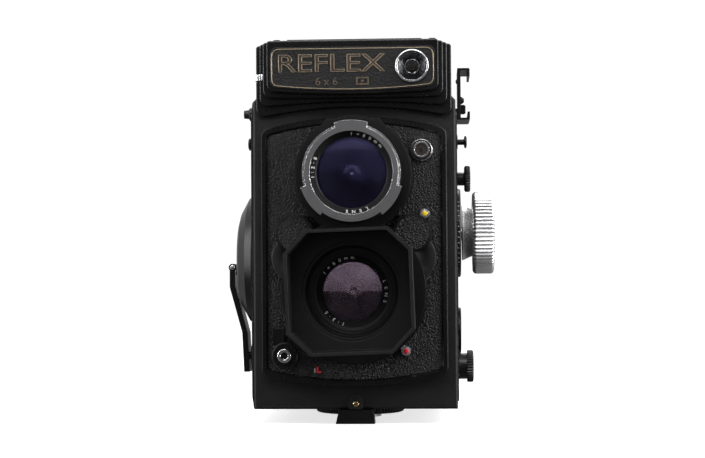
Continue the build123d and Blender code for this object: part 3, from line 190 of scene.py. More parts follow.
def paint(name, tone=0.0045, rough=0.34, specular=0.30, grain_mm=0.0, grain_height=0.003, edge=0.15,
          edge_highlight_tone=0.04):
    """Black enamel: faint orange peel or a crinkle of the given grain, edges painted slightly lighter in
    patches as a highlight.
    """
    g = Graph(name)
    blotch = g.noise(0.06, 3.0)
    dust = g.noise(1.7, 4.0)
    colour = g.mix(g.remap(blotch, 0.3, 0.7, 0, 1), (tone * 0.8, tone * 0.8, tone * 0.84),
                   (tone * 1.25, tone * 1.22, tone * 1.2))
    roughness = g.math("ADD", g.remap(blotch, 0.3, 0.7, rough - 0.05, rough + 0.05),
                       g.remap(dust, 0.45, 0.8, 0.0, 0.10))
    if grain_mm:
        coarse = g.noise(1 / grain_mm, 2.0, 0.4)
        fine = g.noise(2.6 / grain_mm, 2.0)
        height = g.math("ADD", g.remap(coarse, 0.35, 0.65, 0, 1), g.remap(fine, 0.3, 0.7, 0, 0.35))
    else:
        height = g.noise(0.5, 2.0)
    # the lighter grey handed on here is the colour of the painted edge highlight
    return g.finish(colour, roughness, height, grain_height, edge, (edge_highlight_tone,) * 3, 0.4,
                    specular_ior_level=specular)


def leather(name, cell_mm=1.15, tone=0.006, height_mm=0.30):
    """Pebbled leatherette: distorted cells with creases between them, glossier on their crowns, with
    painted shade in the creases and a painted highlight on the crowns.
    """
    g = Graph(name)
    bent = g.wobbled(0.9, 1.3)
    cells = g.node("ShaderNodeTexVoronoi", feature="DISTANCE_TO_EDGE")
    cells.inputs["Scale"].default_value = MM_PER_M / cell_mm
    cells.inputs["Randomness"].default_value = 1.0
    g.link(bent, cells.inputs["Vector"])
    crown = g.remap(cells.outputs["Distance"], 0.0, 0.26, 0.0, 1.0)
    soft = g.math("POWER", crown, 0.55)
    pores = g.noise(3.2, 3.0)
    height = g.math("ADD", soft, g.remap(pores, 0.3, 0.7, 0.0, 0.22))
    rise = g.remap(g.noise(0.25, 2.0), 0.3, 0.7, 0.0, 0.35)
    height = g.math("ADD", height, rise)
    # painted shade and highlight: the colour goes dark down in the creases and lighter up on the crowns
    colour = g.mix(soft, (tone * 0.35,) * 3, (tone * 1.35, tone * 1.33, tone * 1.4))
    roughness = g.math("ADD", g.remap(soft, 0, 1, 0.62, 0.34), g.remap(pores, 0.3, 0.7, -0.04, 0.06))
    return g.finish(colour, roughness, height, height_mm, specular_ior_level=0.30)


def metal(name, colour, rough=0.16, scratch=(1, 1, 1), grime=0.25, edge=0.12, height_mm=0.004):
    """Bare or plated metal with fine directional scratches, smudges and darker grime."""
    g = Graph(name)
    stretch = g.node("ShaderNodeMapping")
    stretch.inputs["Scale"].default_value = scratch
    g.link(g.coords, stretch.inputs["Vector"])
    lines = g.noise(3.0, 4.0, coords=stretch.outputs[0])
    smudge = g.noise(0.22, 4.0, 0.3)
    dirty = g.remap(smudge, 0.48, 0.75, 0.0, grime)
    tint = g.mix(dirty, colour, tuple(c * 0.45 for c in colour))
    brushed = g.remap(lines, 0.3, 0.7, rough * 0.6, rough * 1.4)
    roughness = g.math("ADD", brushed, g.math("MULTIPLY", dirty, 0.5))
    return g.finish(tint, roughness, lines, height_mm, edge, metallic=1.0)


def plastic(name, colour, rough=0.45, height_mm=0.01, edge=0.2, specular=0.35):
    """Moulded plastic or printed enamel with a slight mould texture."""
    g = Graph(name)
    peel = g.noise(1.4, 3.0)
    tint = g.mix(g.remap(g.noise(0.12, 3.0), 0.3, 0.7, 0, 1), tuple(c * 0.85 for c in colour),
                 tuple(min(1, c * 1.12) for c in colour))
    roughness = g.remap(peel, 0.3, 0.7, rough - 0.06, rough + 0.08)
    return g.finish(tint, roughness, peel, height_mm, edge, specular_ior_level=specular)


def glass(name, tint, coating, rough=0.02, specular=0.35):
    """Coated lens glass: clear through, reflections in the coating's colour, tint and roughness varying
    faintly over the surface.
    """
    g = Graph(name)
    bloom = g.remap(g.noise(0.07, 2.0), 0.3, 0.7, 0.0, 1.0)
    colour = g.mix(bloom, tint, tuple(c * 0.85 for c in tint))
    made = g.finish(colour, g.remap(bloom, 0.0, 1.0, rough, rough + 0.03), specular_ior_level=specular,
                    ior=1.5, transmission_weight=1.0, coat_weight=0.12, coat_roughness=0.03)
    g.shader.inputs["Specular Tint"].default_value = (*coating, 1)
    return made


def ground_screen(name):
    """Ground glass with fine concentric rings."""
    g = Graph(name)
    centred = g.node("ShaderNodeMapping")
    centred.inputs["Location"].default_value = (0, 0.002, 0)
    g.link(g.coords, centred.inputs["Vector"])
    rings = g.node("ShaderNodeTexWave", wave_type="RINGS", rings_direction="Z")
    rings.inputs["Scale"].default_value = 900
    g.link(centred.outputs[0], rings.inputs["Vector"])
    roughness = g.remap(g.noise(4.0), 0.3, 0.7, 0.35, 0.5)
    return g.finish((0.55, 0.57, 0.54), roughness, rings.outputs["Fac"], 0.01, transmission_weight=0.45)


SATIN = paint("satin_black_enamel")
GLOSSIER = paint("smooth_black_enamel", tone=0.004, rough=0.24, specular=0.36, edge=0.0)
CRINKLE = paint("crinkle_black_enamel", tone=0.006, rough=0.46, specular=0.30, grain_mm=0.42,
                grain_height=0.05)
PLATE = paint("nameplate_crinkle", tone=0.007, rough=0.44, specular=0.34, grain_mm=0.7,
              grain_height=0.07, edge=0.1)
INSIDE = paint("matt_black_inside", tone=0.008, rough=0.7, specular=0.12, edge=0.0)
LEATHER = leather("pebbled_leatherette")
HOOD_PLASTIC = plastic("hood_plastic", (0.009, 0.009, 0.010), 0.46, 0.012, 0.25, 0.30)
KNOB_BLACK = plastic("knob_black", (0.009, 0.009, 0.010), 0.36, 0.006, 0.12, 0.42)
DARK_CHROME = metal("dark_chrome", (0.16, 0.16, 0.17), 0.20, (1, 1, 1), 0.1, 0.0, 0.0005)
CHROME = metal("bright_chrome", (0.80, 0.80, 0.82), 0.10, (1, 1, 1), 0.22, 0.15)
SATIN_CHROME = metal("satin_chrome", (0.70, 0.70, 0.71), 0.26, (1, 0.05, 1), 0.30, 0.12)
SILVER = metal("turned_aluminium", (0.95, 0.95, 0.96), 0.34, (0.06, 1, 1), 0.06, 0.08, 0.002)
STEEL = metal("plain_steel", (0.42, 0.42, 0.43), 0.30, (1, 0.1, 1), 0.35, 0.12)
BLADE = metal("blade_steel", (0.055, 0.047, 0.045), 0.55, (1, 0.1, 1), 0.3, 0.0, 0.0003)
BRASS = metal("machined_brass", (0.60, 0.43, 0.20), 0.28, (1, 0.1, 1), 0.35, 0.1)
GILT = metal("gilt_line", (0.30, 0.24, 0.17), 0.34, (1, 1, 1), 0.45, 0.0)
BRONZE = metal("dark_gilt_fill", (0.10, 0.085, 0.075), 0.38, (1, 1, 1), 0.4, 0.0)
VIEW_GLASS = glass("viewing_lens_glass", (0.55, 0.53, 0.66), (0.48, 0.46, 0.95), specular=0.5)
TAKE_GLASS = glass("taking_lens_glass", (0.86, 0.79, 0.79), (0.60, 0.50, 0.75), specular=0.4)
CLEAR = glass("clear_window", (0.93, 0.95, 0.95), (1, 1, 1), 0.03, 0.5)
WHITE = plastic("white_filling", (0.85, 0.85, 0.83), 0.5, 0.003, 0.0)
RED = plastic("red_enamel", (0.90, 0.02, 0.05), 0.40, 0.003, 0.0, 0.4)
YELLOW = plastic("yellow_enamel", (0.85, 0.60, 0.02), 0.30, 0.003, 0.0, 0.5)
SCREEN = ground_screen("ground_glass")
MIRROR = metal("mirror_silver", (0.88, 0.89, 0.90), 0.02, (1, 1, 1), 0.05, 0.0, 0.0005)

SURFACES = {
    "body_casting": CRINKLE, "film_chamber_frame": INSIDE, "film_rollers": STEEL, "mirror": MIRROR,
    "focusing_screen": SCREEN, "side_leatherettes": LEATHER, "finder_housing": GLOSSIER,
    "nameplate": PLATE, "meter_cell_bezel": DARK_CHROME, "meter_window": CLEAR, "meter_needle": RED,
    "film_speed_wheel": SATIN_CHROME, "hood_base": SATIN, "hood_side_flap_left": SATIN,
    "hood_side_flap_right": SATIN, "hood_rear_flap": SATIN, "hood_lid": SATIN,
    "magnifier_frame": KNOB_BLACK, "magnifier_lens": CLEAR, "winding_cover": SATIN,
    "crank_hub": SATIN_CHROME, "crank_gear": BRASS, "idler_gear": BRASS, "take_up_drive": STEEL,
    "take_up_spool": KNOB_BLACK, "counter_dial": WHITE, "counter_window": KNOB_BLACK,
    "crank_arm": GLOSSIER, "crank_handle": KNOB_BLACK, "strap_studs": SATIN, "focus_knob": SILVER,
    "depth_of_field_ring": SATIN, "battery_cap": SATIN, "upper_spool_knob": KNOB_BLACK,
    "lower_spool_knob": KNOB_BLACK, "accessory_shoe": SATIN, "standard_plate": GLOSSIER,
    "front_leatherette": LEATHER, "lens_board": SATIN, "aperture_dial": KNOB_BLACK,
    "shutter_speed_dial": KNOB_BLACK, "flash_sync_lever": SATIN_CHROME,
    "self_timer_lever": SATIN_CHROME, "shutter_housing": INSIDE, "shutter_blades": BLADE,
    "taking_lens_barrel": INSIDE, "taking_lens_elements": TAKE_GLASS, "viewing_lens_barrel": INSIDE,
    "viewing_bayonet_ring": CHROME, "viewing_lens_elements": VIEW_GLASS, "flash_socket": CHROME,
    "shutter_button": CHROME, "release_lock_ring": SATIN, "lens_hood": HOOD_PLASTIC,
    "back_door": SATIN, "back_leatherette": LEATHER, "tripod_socket": STEEL,
    "base_latch_ring": SATIN, "base_latch_bar": STEEL, "pressure_plate": SATIN,
}
for node, material in SURFACES.items():
    mesh = NODES[node].data
    mesh.materials.clear()
    mesh.materials.append(material)


# ---- mesh building blocks ------------------------------------------------------------------------
AXES = {
    "X": (Vector((1, 0, 0)), Vector((0, 1, 0)), Vector((0, 0, 1))),
    "-X": (Vector((-1, 0, 0)), Vector((0, -1, 0)), Vector((0, 0, 1))),
    "-Y": (Vector((0, -1, 0)), Vector((1, 0, 0)), Vector((0, 0, 1))),
    "Y": (Vector((0, 1, 0)), Vector((-1, 0, 0)), Vector((0, 0, 1))),
    "Z": (Vector((0, 0, 1)), Vector((1, 0, 0)), Vector((0, 1, 0))),
    "-Z": (Vector((0, 0, -1)), Vector((1, 0, 0)), Vector((0, -1, 0))),
}


def piece(name, bm, material, body, smooth_angle=32.0):
    """Turn a bmesh in millimetres into a piece that rides on a body."""
    bmesh.ops.scale(bm, vec=(0.001, 0.001, 0.001), verts=bm.verts)
    bmesh.ops.recalc_face_normals(bm, faces=bm.faces)
    for face in bm.faces:
        face.smooth = True
    for edge in bm.edges:
        if len(edge.link_faces) == 2 and edge.calc_face_angle(0) > radians(smooth_angle):
            edge.smooth = False
    mesh = bpy.data.meshes.new(name)
    bm.to_mesh(mesh)
    bm.free()
    mesh.materials.append(material)
    made = bpy.data.objects.new(name, mesh)
    scene.collection.objects.link(made)
    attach(made, body)
    return made


def lathe(bm, axis, centre, profile, segments=96, ribs=0, rib_depth=0.0, sharpness=1.0):
    """Turn (along, radius, ribbed) points about an axis; ribbed points dip ribs times per turn."""
    along, u, v = AXES[axis]
    centre = Vector(centre)
    rings = []
    for point in profile:
        distance, radius = point[0], point[1]
        ribbed = len(point) > 2 and point[2]
        if radius <= 0:
            rings.append([bm.verts.new(centre + along * distance)])
            continue
        ring = []
        for step in range(segments):
            angle = 2 * pi * step / segments
            dip = rib_depth * (0.5 - 0.5 * cos(ribs * angle)) ** sharpness if ribbed else 0
            ring.append(bm.verts.new(centre + along * distance
                                     + (u * cos(angle) + v * sin(angle)) * (radius - dip)))
        rings.append(ring)
    for first, second in zip(rings, rings[1:]):
        for step in range(segments):
            nxt = (step + 1) % segments
            if len(first) == 1 and len(second) == 1:
                continue
            if len(first) == 1:
                bm.faces.new((first[0], second[step], second[nxt]))
            elif len(second) == 1:
                bm.faces.new((first[step], first[nxt], second[0]))
            else:
                bm.faces.new((first[step], first[nxt], second[nxt], second[step]))


def add_bmesh(target, source, matrix=None):
    """Copy one bmesh into another through a matrix."""
    if matrix is not None:
        bmesh.ops.transform(source, matrix=matrix, verts=source.verts)
    copies = {vert: target.verts.new(vert.co) for vert in source.verts}
    for face in source.faces:
        target.faces.new([copies[vert] for vert in face.verts])
    source.free()


def cuboid(bm, low, high, matrix=None, bevel=0.1):
    """A box between two corners with rounded edges, placed by an optional matrix."""
    made = bmesh.new()
    bmesh.ops.create_cube(made, size=1.0)
    bmesh.ops.scale(made, vec=Vector(high) - Vector(low), verts=made.verts)
    bmesh.ops.translate(made, vec=(Vector(high) + Vector(low)) / 2, verts=made.verts)
    bmesh.ops.bevel(made, geom=made.edges[:], offset=bevel, segments=2, affect="EDGES")
    add_bmesh(bm, made, matrix)


CAP_HEIGHT = 0.7     # of the built-in font, as a share of its size
TEXT_LIFT = 0.03     # of ring lettering above its cone, mm
TEXT_DEPTH = 0.04    # of ring lettering, mm


def lettering(text, height_mm, depth_mm=0.05, line_mm=0.0):
    """Mesh of a line of text, cap height as given, centred, in its own XY plane, in millimetres."""
    data = bpy.data.curves.new("lettering", "FONT")
    data.body = text
    data.align_x = "CENTER"
    data.align_y = "CENTER"
    data.size = 1.0
    data.resolution_u = 6
    data.extrude = 0.0 if line_mm else depth_mm / height_mm * CAP_HEIGHT
    if line_mm:
        data.fill_mode = "NONE"
        data.bevel_depth = line_mm / height_mm * CAP_HEIGHT
        data.bevel_resolution = 2
    holder = bpy.data.objects.new("lettering", data)
    scene.collection.objects.link(holder)
    graph = bpy.context.evaluated_depsgraph_get()
    mesh = bpy.data.meshes.new_from_object(holder.evaluated_get(graph))
    bpy.data.objects.remove(holder)
    bm = bmesh.new()
    bm.from_mesh(mesh)
    bpy.data.meshes.remove(mesh)
    xs = [vert.co.x for vert in bm.verts]
    ys = [vert.co.y for vert in bm.verts]
    middle = ((min(xs) + max(xs)) / 2, (min(ys) + max(ys)) / 2)
    bmesh.ops.translate(bm, vec=(-middle[0], -middle[1], 0), verts=bm.verts)
    bmesh.ops.scale(bm, vec=(height_mm / CAP_HEIGHT,) * 3, verts=bm.verts)
    return bm


def placed(axis, centre, turn=0.0):
    """Matrix that lays XY-plane work on a face looking along an axis, turned in its plane by degrees."""
    normal, u, v = AXES[axis]
    c, s = cos(radians(turn)), sin(radians(turn))
    right = u * c + v * s
    up = v * c - u * s
    made = Matrix((right, up, normal)).transposed().to_4x4()
    return Matrix.Translation(Vector(centre)) @ made


def ring_text(bm, text, axis, centre, cone, start, spacing_mm, height_mm):
    """Write text around an axis on a cone between two (radius, along) points; start is its middle angle."""
    normal, u, v = AXES[axis]
    centre = Vector(centre)
    (r0, a0), (r1, a1) = cone
    mid_r, mid_a = (r0 + r1) / 2, (a0 + a1) / 2
    length = hypot(r1 - r0, a1 - a0)
    step = degrees(spacing_mm / mid_r)
    for index, letter in enumerate(text):
        angle = radians(start - (index - (len(text) - 1) / 2) * step)
        out = u * cos(angle) + v * sin(angle)
        up = (out * (r1 - r0) + normal * (a1 - a0)) / length
        across = out.cross(normal).normalized()
        face = across.cross(up)
        if face.dot(normal) < 0:
            across = -across
            face = -face
        matrix = Matrix((across, up, face)).transposed().to_4x4()
        place = centre + out * mid_r + normal * mid_a + face * TEXT_LIFT
        add_bmesh(bm, lettering(letter, height_mm, TEXT_DEPTH), Matrix.Translation(place) @ matrix)


def slotted_screw(bm, axis, centre, radius, rise=0.35, turn=20.0):
    """Low domed screw head with a slot, made of two half domes on a disc."""
    slot, levels, arc_steps, disc_steps = 0.22, 3, 14, 28
    normal, u, v = AXES[axis]
    centre = Vector(centre)
    c, s = cos(radians(turn)), sin(radians(turn))
    along, over = u * c + v * s, v * c - u * s
    for sign in (-1, 1):
        rows = []
        for level in range(levels + 1):
            spread = cos(pi / 2 * level / (levels + 0.4))
            row = []
            for step in range(arc_steps + 1):
                angle = pi * step / arc_steps
                x = cos(angle) * radius * spread
                y = slot * radius + sin(angle) * radius * spread * (1 - slot)
                place = centre + along * x + over * (sign * y) + normal * (rise * level / levels)
                row.append(bm.verts.new(place))
            rows.append(row)
        for low, high in zip(rows, rows[1:]):
            for step in range(arc_steps):
                bm.faces.new((low[step], low[step + 1], high[step + 1], high[step]))
            bm.faces.new((low[0], high[0], high[-1], low[-1]))
        bm.faces.new(rows[-1])
    angles = [2 * pi * k / disc_steps for k in range(disc_steps)]
    bm.faces.new([bm.verts.new(centre + (u * cos(a) + v * sin(a)) * radius) for a in angles])


def tube(bm, points, radius, sides=8):
    """Closed loop of round wire through a list of points."""
    count = len(points)
    rings = []
    for index, point in enumerate(points):
        direction = (Vector(points[(index + 1) % count]) - Vector(points[index - 1])).normalized()
        side = direction.cross(Vector((0, 1, 0))).normalized()
        up = side.cross(direction)
        ring = []
        for k in range(sides):
            angle = 2 * pi * k / sides
            ring.append(bm.verts.new(Vector(point) + (side * cos(angle) + up * sin(angle)) * radius))
        rings.append(ring)
    for index in range(count):
        first, second = rings[index], rings[(index + 1) % count]
        for k in range(sides):
            bm.faces.new((first[k], first[(k + 1) % sides], second[(k + 1) % sides], second[k]))


def arched_points(half, top, low, low_mid, corner, y):
    """Points round an upright plate: straight top and sides, shallow arc below, rounded corners."""
    corner_steps, arc_steps = 6, 12
    corner_turn = 90 / corner_steps
    sag = low - low_mid
    bend = (half**2 + sag**2) / (2 * sag)
    centre_z = low_mid + bend
    span = half - corner
    points = []
    for cz, start in ((top - corner, 90), (centre_z - (bend**2 - span**2) ** 0.5 + corner, 0)):
        for k in range(corner_steps + 1):
            angle = radians(start - k * corner_turn)
            points.append((span + corner * cos(angle), y, cz + corner * sin(angle)))
    left = [(-x, y, z) for x, _, z in points]
    for k in range(arc_steps - 1, -arc_steps, -1):
        x = span * k / arc_steps
        points.append((x, y, centre_z - (bend**2 - x**2) ** 0.5))
    return points + left[::-1]


# ---- nameplate: gilt border, a plain word and a small square emblem ------------------------------
PLATE_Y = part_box("nameplate")[0].y * MM_PER_M
bm = bmesh.new()
tube(bm, arched_points(30.2, 140.6, 127.1, 125.4, 2.6, PLATE_Y), 0.22)
piece("nameplate_border", bm, GILT, "camera_body", 80)

WIDER = Matrix.Diagonal((1.32, 1, 1, 1))
WORD, WORD_X, WORD_Z, WORD_HEIGHT = "REFLEX", -7.6, 135.2, 6.6
bm = bmesh.new()
add_bmesh(bm, lettering(WORD, WORD_HEIGHT, 0.10), placed("-Y", (WORD_X, PLATE_Y - 0.08, WORD_Z)) @ WIDER)
piece("nameplate_word_fill", bm, BRONZE, "camera_body")
bm = bmesh.new()
add_bmesh(bm, lettering(WORD, WORD_HEIGHT, line_mm=0.12),
          placed("-Y", (WORD_X, PLATE_Y - 0.16, WORD_Z)) @ WIDER)
piece("nameplate_word_outline", bm, GILT, "camera_body", 60)
bm = bmesh.new()
add_bmesh(bm, lettering("6 x 6", 2.9, 0.10), placed("-Y", (-9.6, PLATE_Y - 0.08, 128.4)))
for low, high in (((1.4, 126.9), (6.2, 127.5)), ((1.4, 129.3), (6.2, 129.9)),
                  ((1.4, 127.4), (2.0, 129.4)), ((5.6, 127.4), (6.2, 129.4)),
                  ((3.3, 128.0), (4.3, 128.8))):
    cuboid(bm, (low[0], PLATE_Y - 0.22, low[1]), (high[0], PLATE_Y + 0.05, high[1]), bevel=0.05)
piece("nameplate_small_marks", bm, GILT, "camera_body")

# ---- meter cell and meter scale ------------------------------------------------------------------
CELL = (22.3, 0, 133.8)
bm = bmesh.new()
lathe(bm, "-Y", CELL, ((43.0, 2.45), (43.35, 2.2), (43.5, 1.2), (43.55, 0)), 48)
piece("meter_cell_glass", bm, CLEAR, "camera_body")
bm = bmesh.new()
for row in range(-2, 3):
    for column in range(-2, 3):
        x = column * 0.95 + (row % 2) * 0.475
        z = row * 0.82
        if hypot(x, z) < 2.0:
            lathe(bm, "-Y", (CELL[0] + x, 0, CELL[2] + z),
                  ((42.25, 0.47), (42.5, 0.44), (42.8, 0.25), (42.9, 0)), 6)
piece("meter_cell_honeycomb", bm, BRONZE, "camera_body")
bm = bmesh.new()
lathe(bm, "-Y", CELL, ((46.55, 6.22), (46.75, 6.15), (46.9, 5.95), (46.95, 5.7), (46.9, 5.5),
                       (46.7, 5.38)), 128)
lathe(bm, "-Y", CELL, ((43.85, 2.75), (44.05, 2.68), (44.05, 2.52), (43.6, 2.42)), 96)
piece("meter_cell_rim", bm, CHROME, "camera_body")
bm = bmesh.new()
lathe(bm, "-Y", CELL, ((46.75, 5.4), (46.6, 5.3), (43.95, 2.66)), 160)
piece("meter_cell_reflector", bm, DARK_CHROME, "camera_body")

SCALE_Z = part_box("meter_window")[0].z * MM_PER_M - 3.5
bm = bmesh.new()
for k in range(15):
    angle = radians(-90 + (k - 7) * 4.2)
    matrix = Matrix.Translation((-3.0, -35.2, SCALE_Z)) @ Matrix.Rotation(angle, 4, "Z")
    cuboid(bm, (5.2 if k % 2 else 4.6, -0.08, 0), (6.2, 0.08, 0.06), matrix, 0.02)
for text, x in (("100", -17), ("200", -12), ("OK", 6), ("400", 12)):
    add_bmesh(bm, lettering(text, 1.4, 0.03), placed("Z", (x, -39.2, SCALE_Z + 0.03)))
piece("meter_scale_marks", bm, WHITE, "camera_body")

# ---- viewing and taking lenses: engraved name rings, thread rings --------------------------------
VIEW = (0, 0, 93.5)
TAKE = (0, 0, 50.0)
VIEW_CONE = ((13.65, 55.62), (14.95, 56.42))
TAKE_CONE = ((11.75, 52.5), (13.05, 53.3))
bm = bmesh.new()
for text, start, spacing in (("f=80mm", 66, 2.35), ("1:2.8", 172, 1.75), ("LENS", -82, 2.5)):
    ring_text(bm, text, "-Y", VIEW, VIEW_CONE, start, spacing, 1.3)
for text, start, spacing in (("f=80mm", 118, 2.45), ("1:3.5", 236, 1.9), ("LENS", 0, 2.5)):
    ring_text(bm, text, "-Y", TAKE, TAKE_CONE, start, spacing, 1.35)
piece("lens_ring_marks", bm, WHITE, "front_standard")
bm = bmesh.new()
for centre, radius, along in ((VIEW, 13.25, 55.35), (TAKE, 11.1, 52.15)):
    lathe(bm, "-Y", centre, ((along - 0.6, radius + 0.15), (along, radius + 0.12),
                             (along + 0.12, radius - 0.05), (along - 0.1, radius - 0.25)), 128)
piece("lens_retaining_rings", bm, KNOB_BLACK, "front_standard")
bm = bmesh.new()
profile = []
for k in range(9):
    along = 54.5 + k * 0.18
    radius = 16.35 - (0.22 if k % 2 else 0.0)
    profile.append((along, radius))
lathe(bm, "-Y", TAKE, profile, 128)
lathe(bm, "-Y", TAKE, ((53.5, 13.35), (53.75, 13.3), (53.85, 13.7), (53.95, 14.2), (54.25, 14.3),
                       (54.3, 15.2), (54.5, 15.3), (54.5, 16.3)), 128)
piece("taking_lens_thread", bm, SATIN, "front_standard")
bm = bmesh.new()
lathe(bm, "-Y", VIEW, ((56.6, 15.22), (58.25, 15.22), (58.35, 15.45), (58.3, 15.7)), 160)
piece("viewing_ring_inner_lip", bm, CHROME, "front_standard")

# ---- front standard: coloured dots, red letter, exposure read-out --------------------------------
DOT_PROFILE = ((41.9, 0.98), (42.12, 0.95), (42.28, 0.7), (42.33, 0))
bm = bmesh.new()
lathe(bm, "-Y", (26.60, 0, 78.93), DOT_PROFILE, 32)
piece("sync_lever_dot", bm, YELLOW, "flash_sync_lever")
bm = bmesh.new()
lathe(bm, "-Y", (19.26, 0, 27.53), DOT_PROFILE, 32)
piece("timer_lever_dot", bm, RED, "self_timer_lever")
SKIN_Y = -39.9
bm = bmesh.new()
LOCK_LETTER = placed("-Y", (-13.6, SKIN_Y - 0.05, 20.6))
add_bmesh(bm, lettering("L", 2.1), LOCK_LETTER)
add_bmesh(bm, lettering("L", 2.1, line_mm=0.12), LOCK_LETTER)
piece("lock_letter", bm, RED, "front_standard")
bm = bmesh.new()
cuboid(bm, (-15.15, SKIN_Y - 0.1, 19.6), (-14.95, SKIN_Y + 0.05, 21.2), bevel=0.03)
piece("lock_index_bar", bm, WHITE, "front_standard")
BOARD_TOP = 114.7
bm = bmesh.new()
cuboid(bm, (-7.6, -44.1, BOARD_TOP - 0.05), (7.6, -40.2, BOARD_TOP + 0.22), bevel=0.1)
piece("exposure_window_frame", bm, GLOSSIER, "front_standard")
bm = bmesh.new()
for text, x in (("8", -4.2), ("250", 3.8)):
    add_bmesh(bm, lettering(text, 1.9, 0.02), placed("Z", (x, -42.2, BOARD_TOP + 0.24)))
cuboid(bm, (-0.08, -43.8, BOARD_TOP + 0.2), (0.08, -40.5, BOARD_TOP + 0.26), bevel=0.02)
piece("exposure_window_marks", bm, WHITE, "front_standard")

# ---- flash socket and cable release hole ---------------------------------------------------------
SOCKET = (25.5, 0, 102.8)
bm = bmesh.new()
lathe(bm, "-Y", SOCKET, ((41.8, 2.38), (42.0, 2.3), (42.0, 1.05), (42.3, 1.0), (42.3, 0.85)), 64)
piece("flash_socket_sleeve", bm, BRONZE, "front_standard")
bm = bmesh.new()
lathe(bm, "-Y", SOCKET, ((41.9, 0.98), (42.32, 0.9), (42.34, 0.0)), 48)
lathe(bm, "-Y", SOCKET, ((41.32, 3.85), (41.36, 3.8), (41.36, 3.15), (41.32, 3.1)), 64)
piece("flash_socket_insulator", bm, KNOB_BLACK, "front_standard")
bm = bmesh.new()
lathe(bm, "-Y", (-26.1, 0, 26.1), ((44.6, 1.28), (44.7, 1.1), (44.7, 0.0)), 48)
piece("cable_release_hole", bm, INSIDE, "shutter_button")

# ---- knurled controls that stand for the plain CAD knobs -----------------------------------------
FOCUS_KNOB = (0, 0, 72.6)
bm = bmesh.new()
lathe(bm, "X", FOCUS_KNOB, (
    (31.0, 0), (31.0, 3.0), (41.0, 3.0), (41.0, 10.6), (41.2, 11.0), (45.2, 9.2), (45.2, 14.2),
    (45.2, 15.2, 1), (45.5, 15.8, 1), (46.1, 16.28, 1), (46.6, 16.3, 1), (52.3, 16.3, 1), (52.9, 16.2, 1),
    (53.35, 15.7, 1),
    (53.5, 15.3), (53.5, 14.4), (53.35, 14.25), (53.35, 13.9), (53.5, 13.75), (53.5, 12.1), (53.0, 11.7),
    (52.95, 11.2), (52.95, 4.2), (52.75, 4.0), (52.75, 3.6), (52.95, 3.4), (52.95, 0)),
      512, 64, 0.62, 0.7)
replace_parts(piece("focus_knob_ribbed", bm, SILVER, "focus_knob", 40), "focus_knob")
bm = bmesh.new()
lathe(bm, "X", FOCUS_KNOB, ((52.95, 4.5), (53.02, 4.6), (53.02, 10.9), (52.95, 11.0)), 128)
piece("focus_knob_inlay", bm, KNOB_BLACK, "focus_knob")
bm = bmesh.new()
for k, text in enumerate(("25", "50", "100", "200", "400", "800")):
    ring_text(bm, text, "X", FOCUS_KNOB, ((7.6, 53.03), (9.6, 53.03)), 90 - k * 60, 1.25, 1.5)
for k in range(24):
    matrix = Matrix.Translation((53.05, 0, FOCUS_KNOB[2])) @ Matrix.Rotation(radians(k * 15), 4, "X")
    cuboid(bm, (-0.03, -0.07, 10.0), (0.03, 0.07, 10.6), matrix, 0.02)
piece("focus_knob_face_marks", bm, WHITE, "focus_knob")
bm = bmesh.new()
for k, text in enumerate(("3.5", "4", "5", "7", "10", "15", "30", "50")):
    ring_text(bm, text, "X", FOCUS_KNOB, ((9.55, 44.6), (10.65, 42.0)), 180 - k * 34, 1.0, 1.15)
piece("focus_scale_marks", bm, STEEL, "focus_knob")
bm = bmesh.new()
for k in range(-6, 7):
    matrix = Matrix.Translation(FOCUS_KNOB) @ Matrix.Rotation(radians(90 + k * 7), 4, "X")
    cuboid(bm, (38.9, -0.1, 17.55), (39.9 if k else 40.1, 0.1, 17.68), matrix, 0.03)
piece("depth_scale_marks", bm, WHITE, "camera_body")

bm = bmesh.new()
lathe(bm, "X", (0, 21.6, 95.504), (
    (31.2, 0), (31.2, 2.45), (33.6, 2.45), (33.6, 2.75), (42.5, 2.75), (42.5, 4.6), (42.6, 4.9, 1),
    (43.0, 5.4, 1), (44.5, 5.4, 1), (44.95, 4.95, 1), (45.0, 4.5), (45.0, 3.6), (44.7, 3.3), (44.7, 1.2),
    (44.9, 0.9), (44.9, 0)),
      256, 32, 0.42, 0.8)
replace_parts(piece("upper_spool_knob_knurled", bm, KNOB_BLACK, "upper_spool_knob", 40),
            "upper_spool_knob")
bm = bmesh.new()
lathe(bm, "X", (0, -15.0, 20.4), (
    (31.2, 0), (31.2, 2.45), (33.6, 2.45), (33.6, 2.75), (38.9, 2.75), (38.9, 4.8), (39.1, 5.0),
    (42.3, 5.0), (42.3, 5.8), (42.4, 6.2, 1), (44.4, 6.2, 1), (44.85, 5.75, 1), (44.9, 5.2), (44.9, 4.4),
    (44.6, 4.1), (44.6, 1.4), (44.8, 1.1), (44.8, 0)),
      288, 36, 0.42, 0.8)
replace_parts(piece("lower_spool_knob_knurled", bm, KNOB_BLACK, "lower_spool_knob", 40),
            "lower_spool_knob")
for node, x in (("aperture_dial", -21.0), ("shutter_speed_dial", 21.0)):
    bm = bmesh.new()
    lathe(bm, "-Y", (x, 0, 62.5), (
        (41.5, 1.55), (41.5, 9.4), (41.7, 9.9, 1), (41.9, 10.0, 1), (43.5, 10.0, 1), (43.7, 9.9, 1),
        (43.9, 9.4), (43.9, 6.0), (43.75, 5.8), (43.75, 3.0), (43.9, 2.8), (43.9, 1.55), (41.5, 1.55)),
          480, 60, 0.35, 0.8)
    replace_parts(piece(node + "_ribbed", bm, KNOB_BLACK, node, 40), node)
bm = bmesh.new()
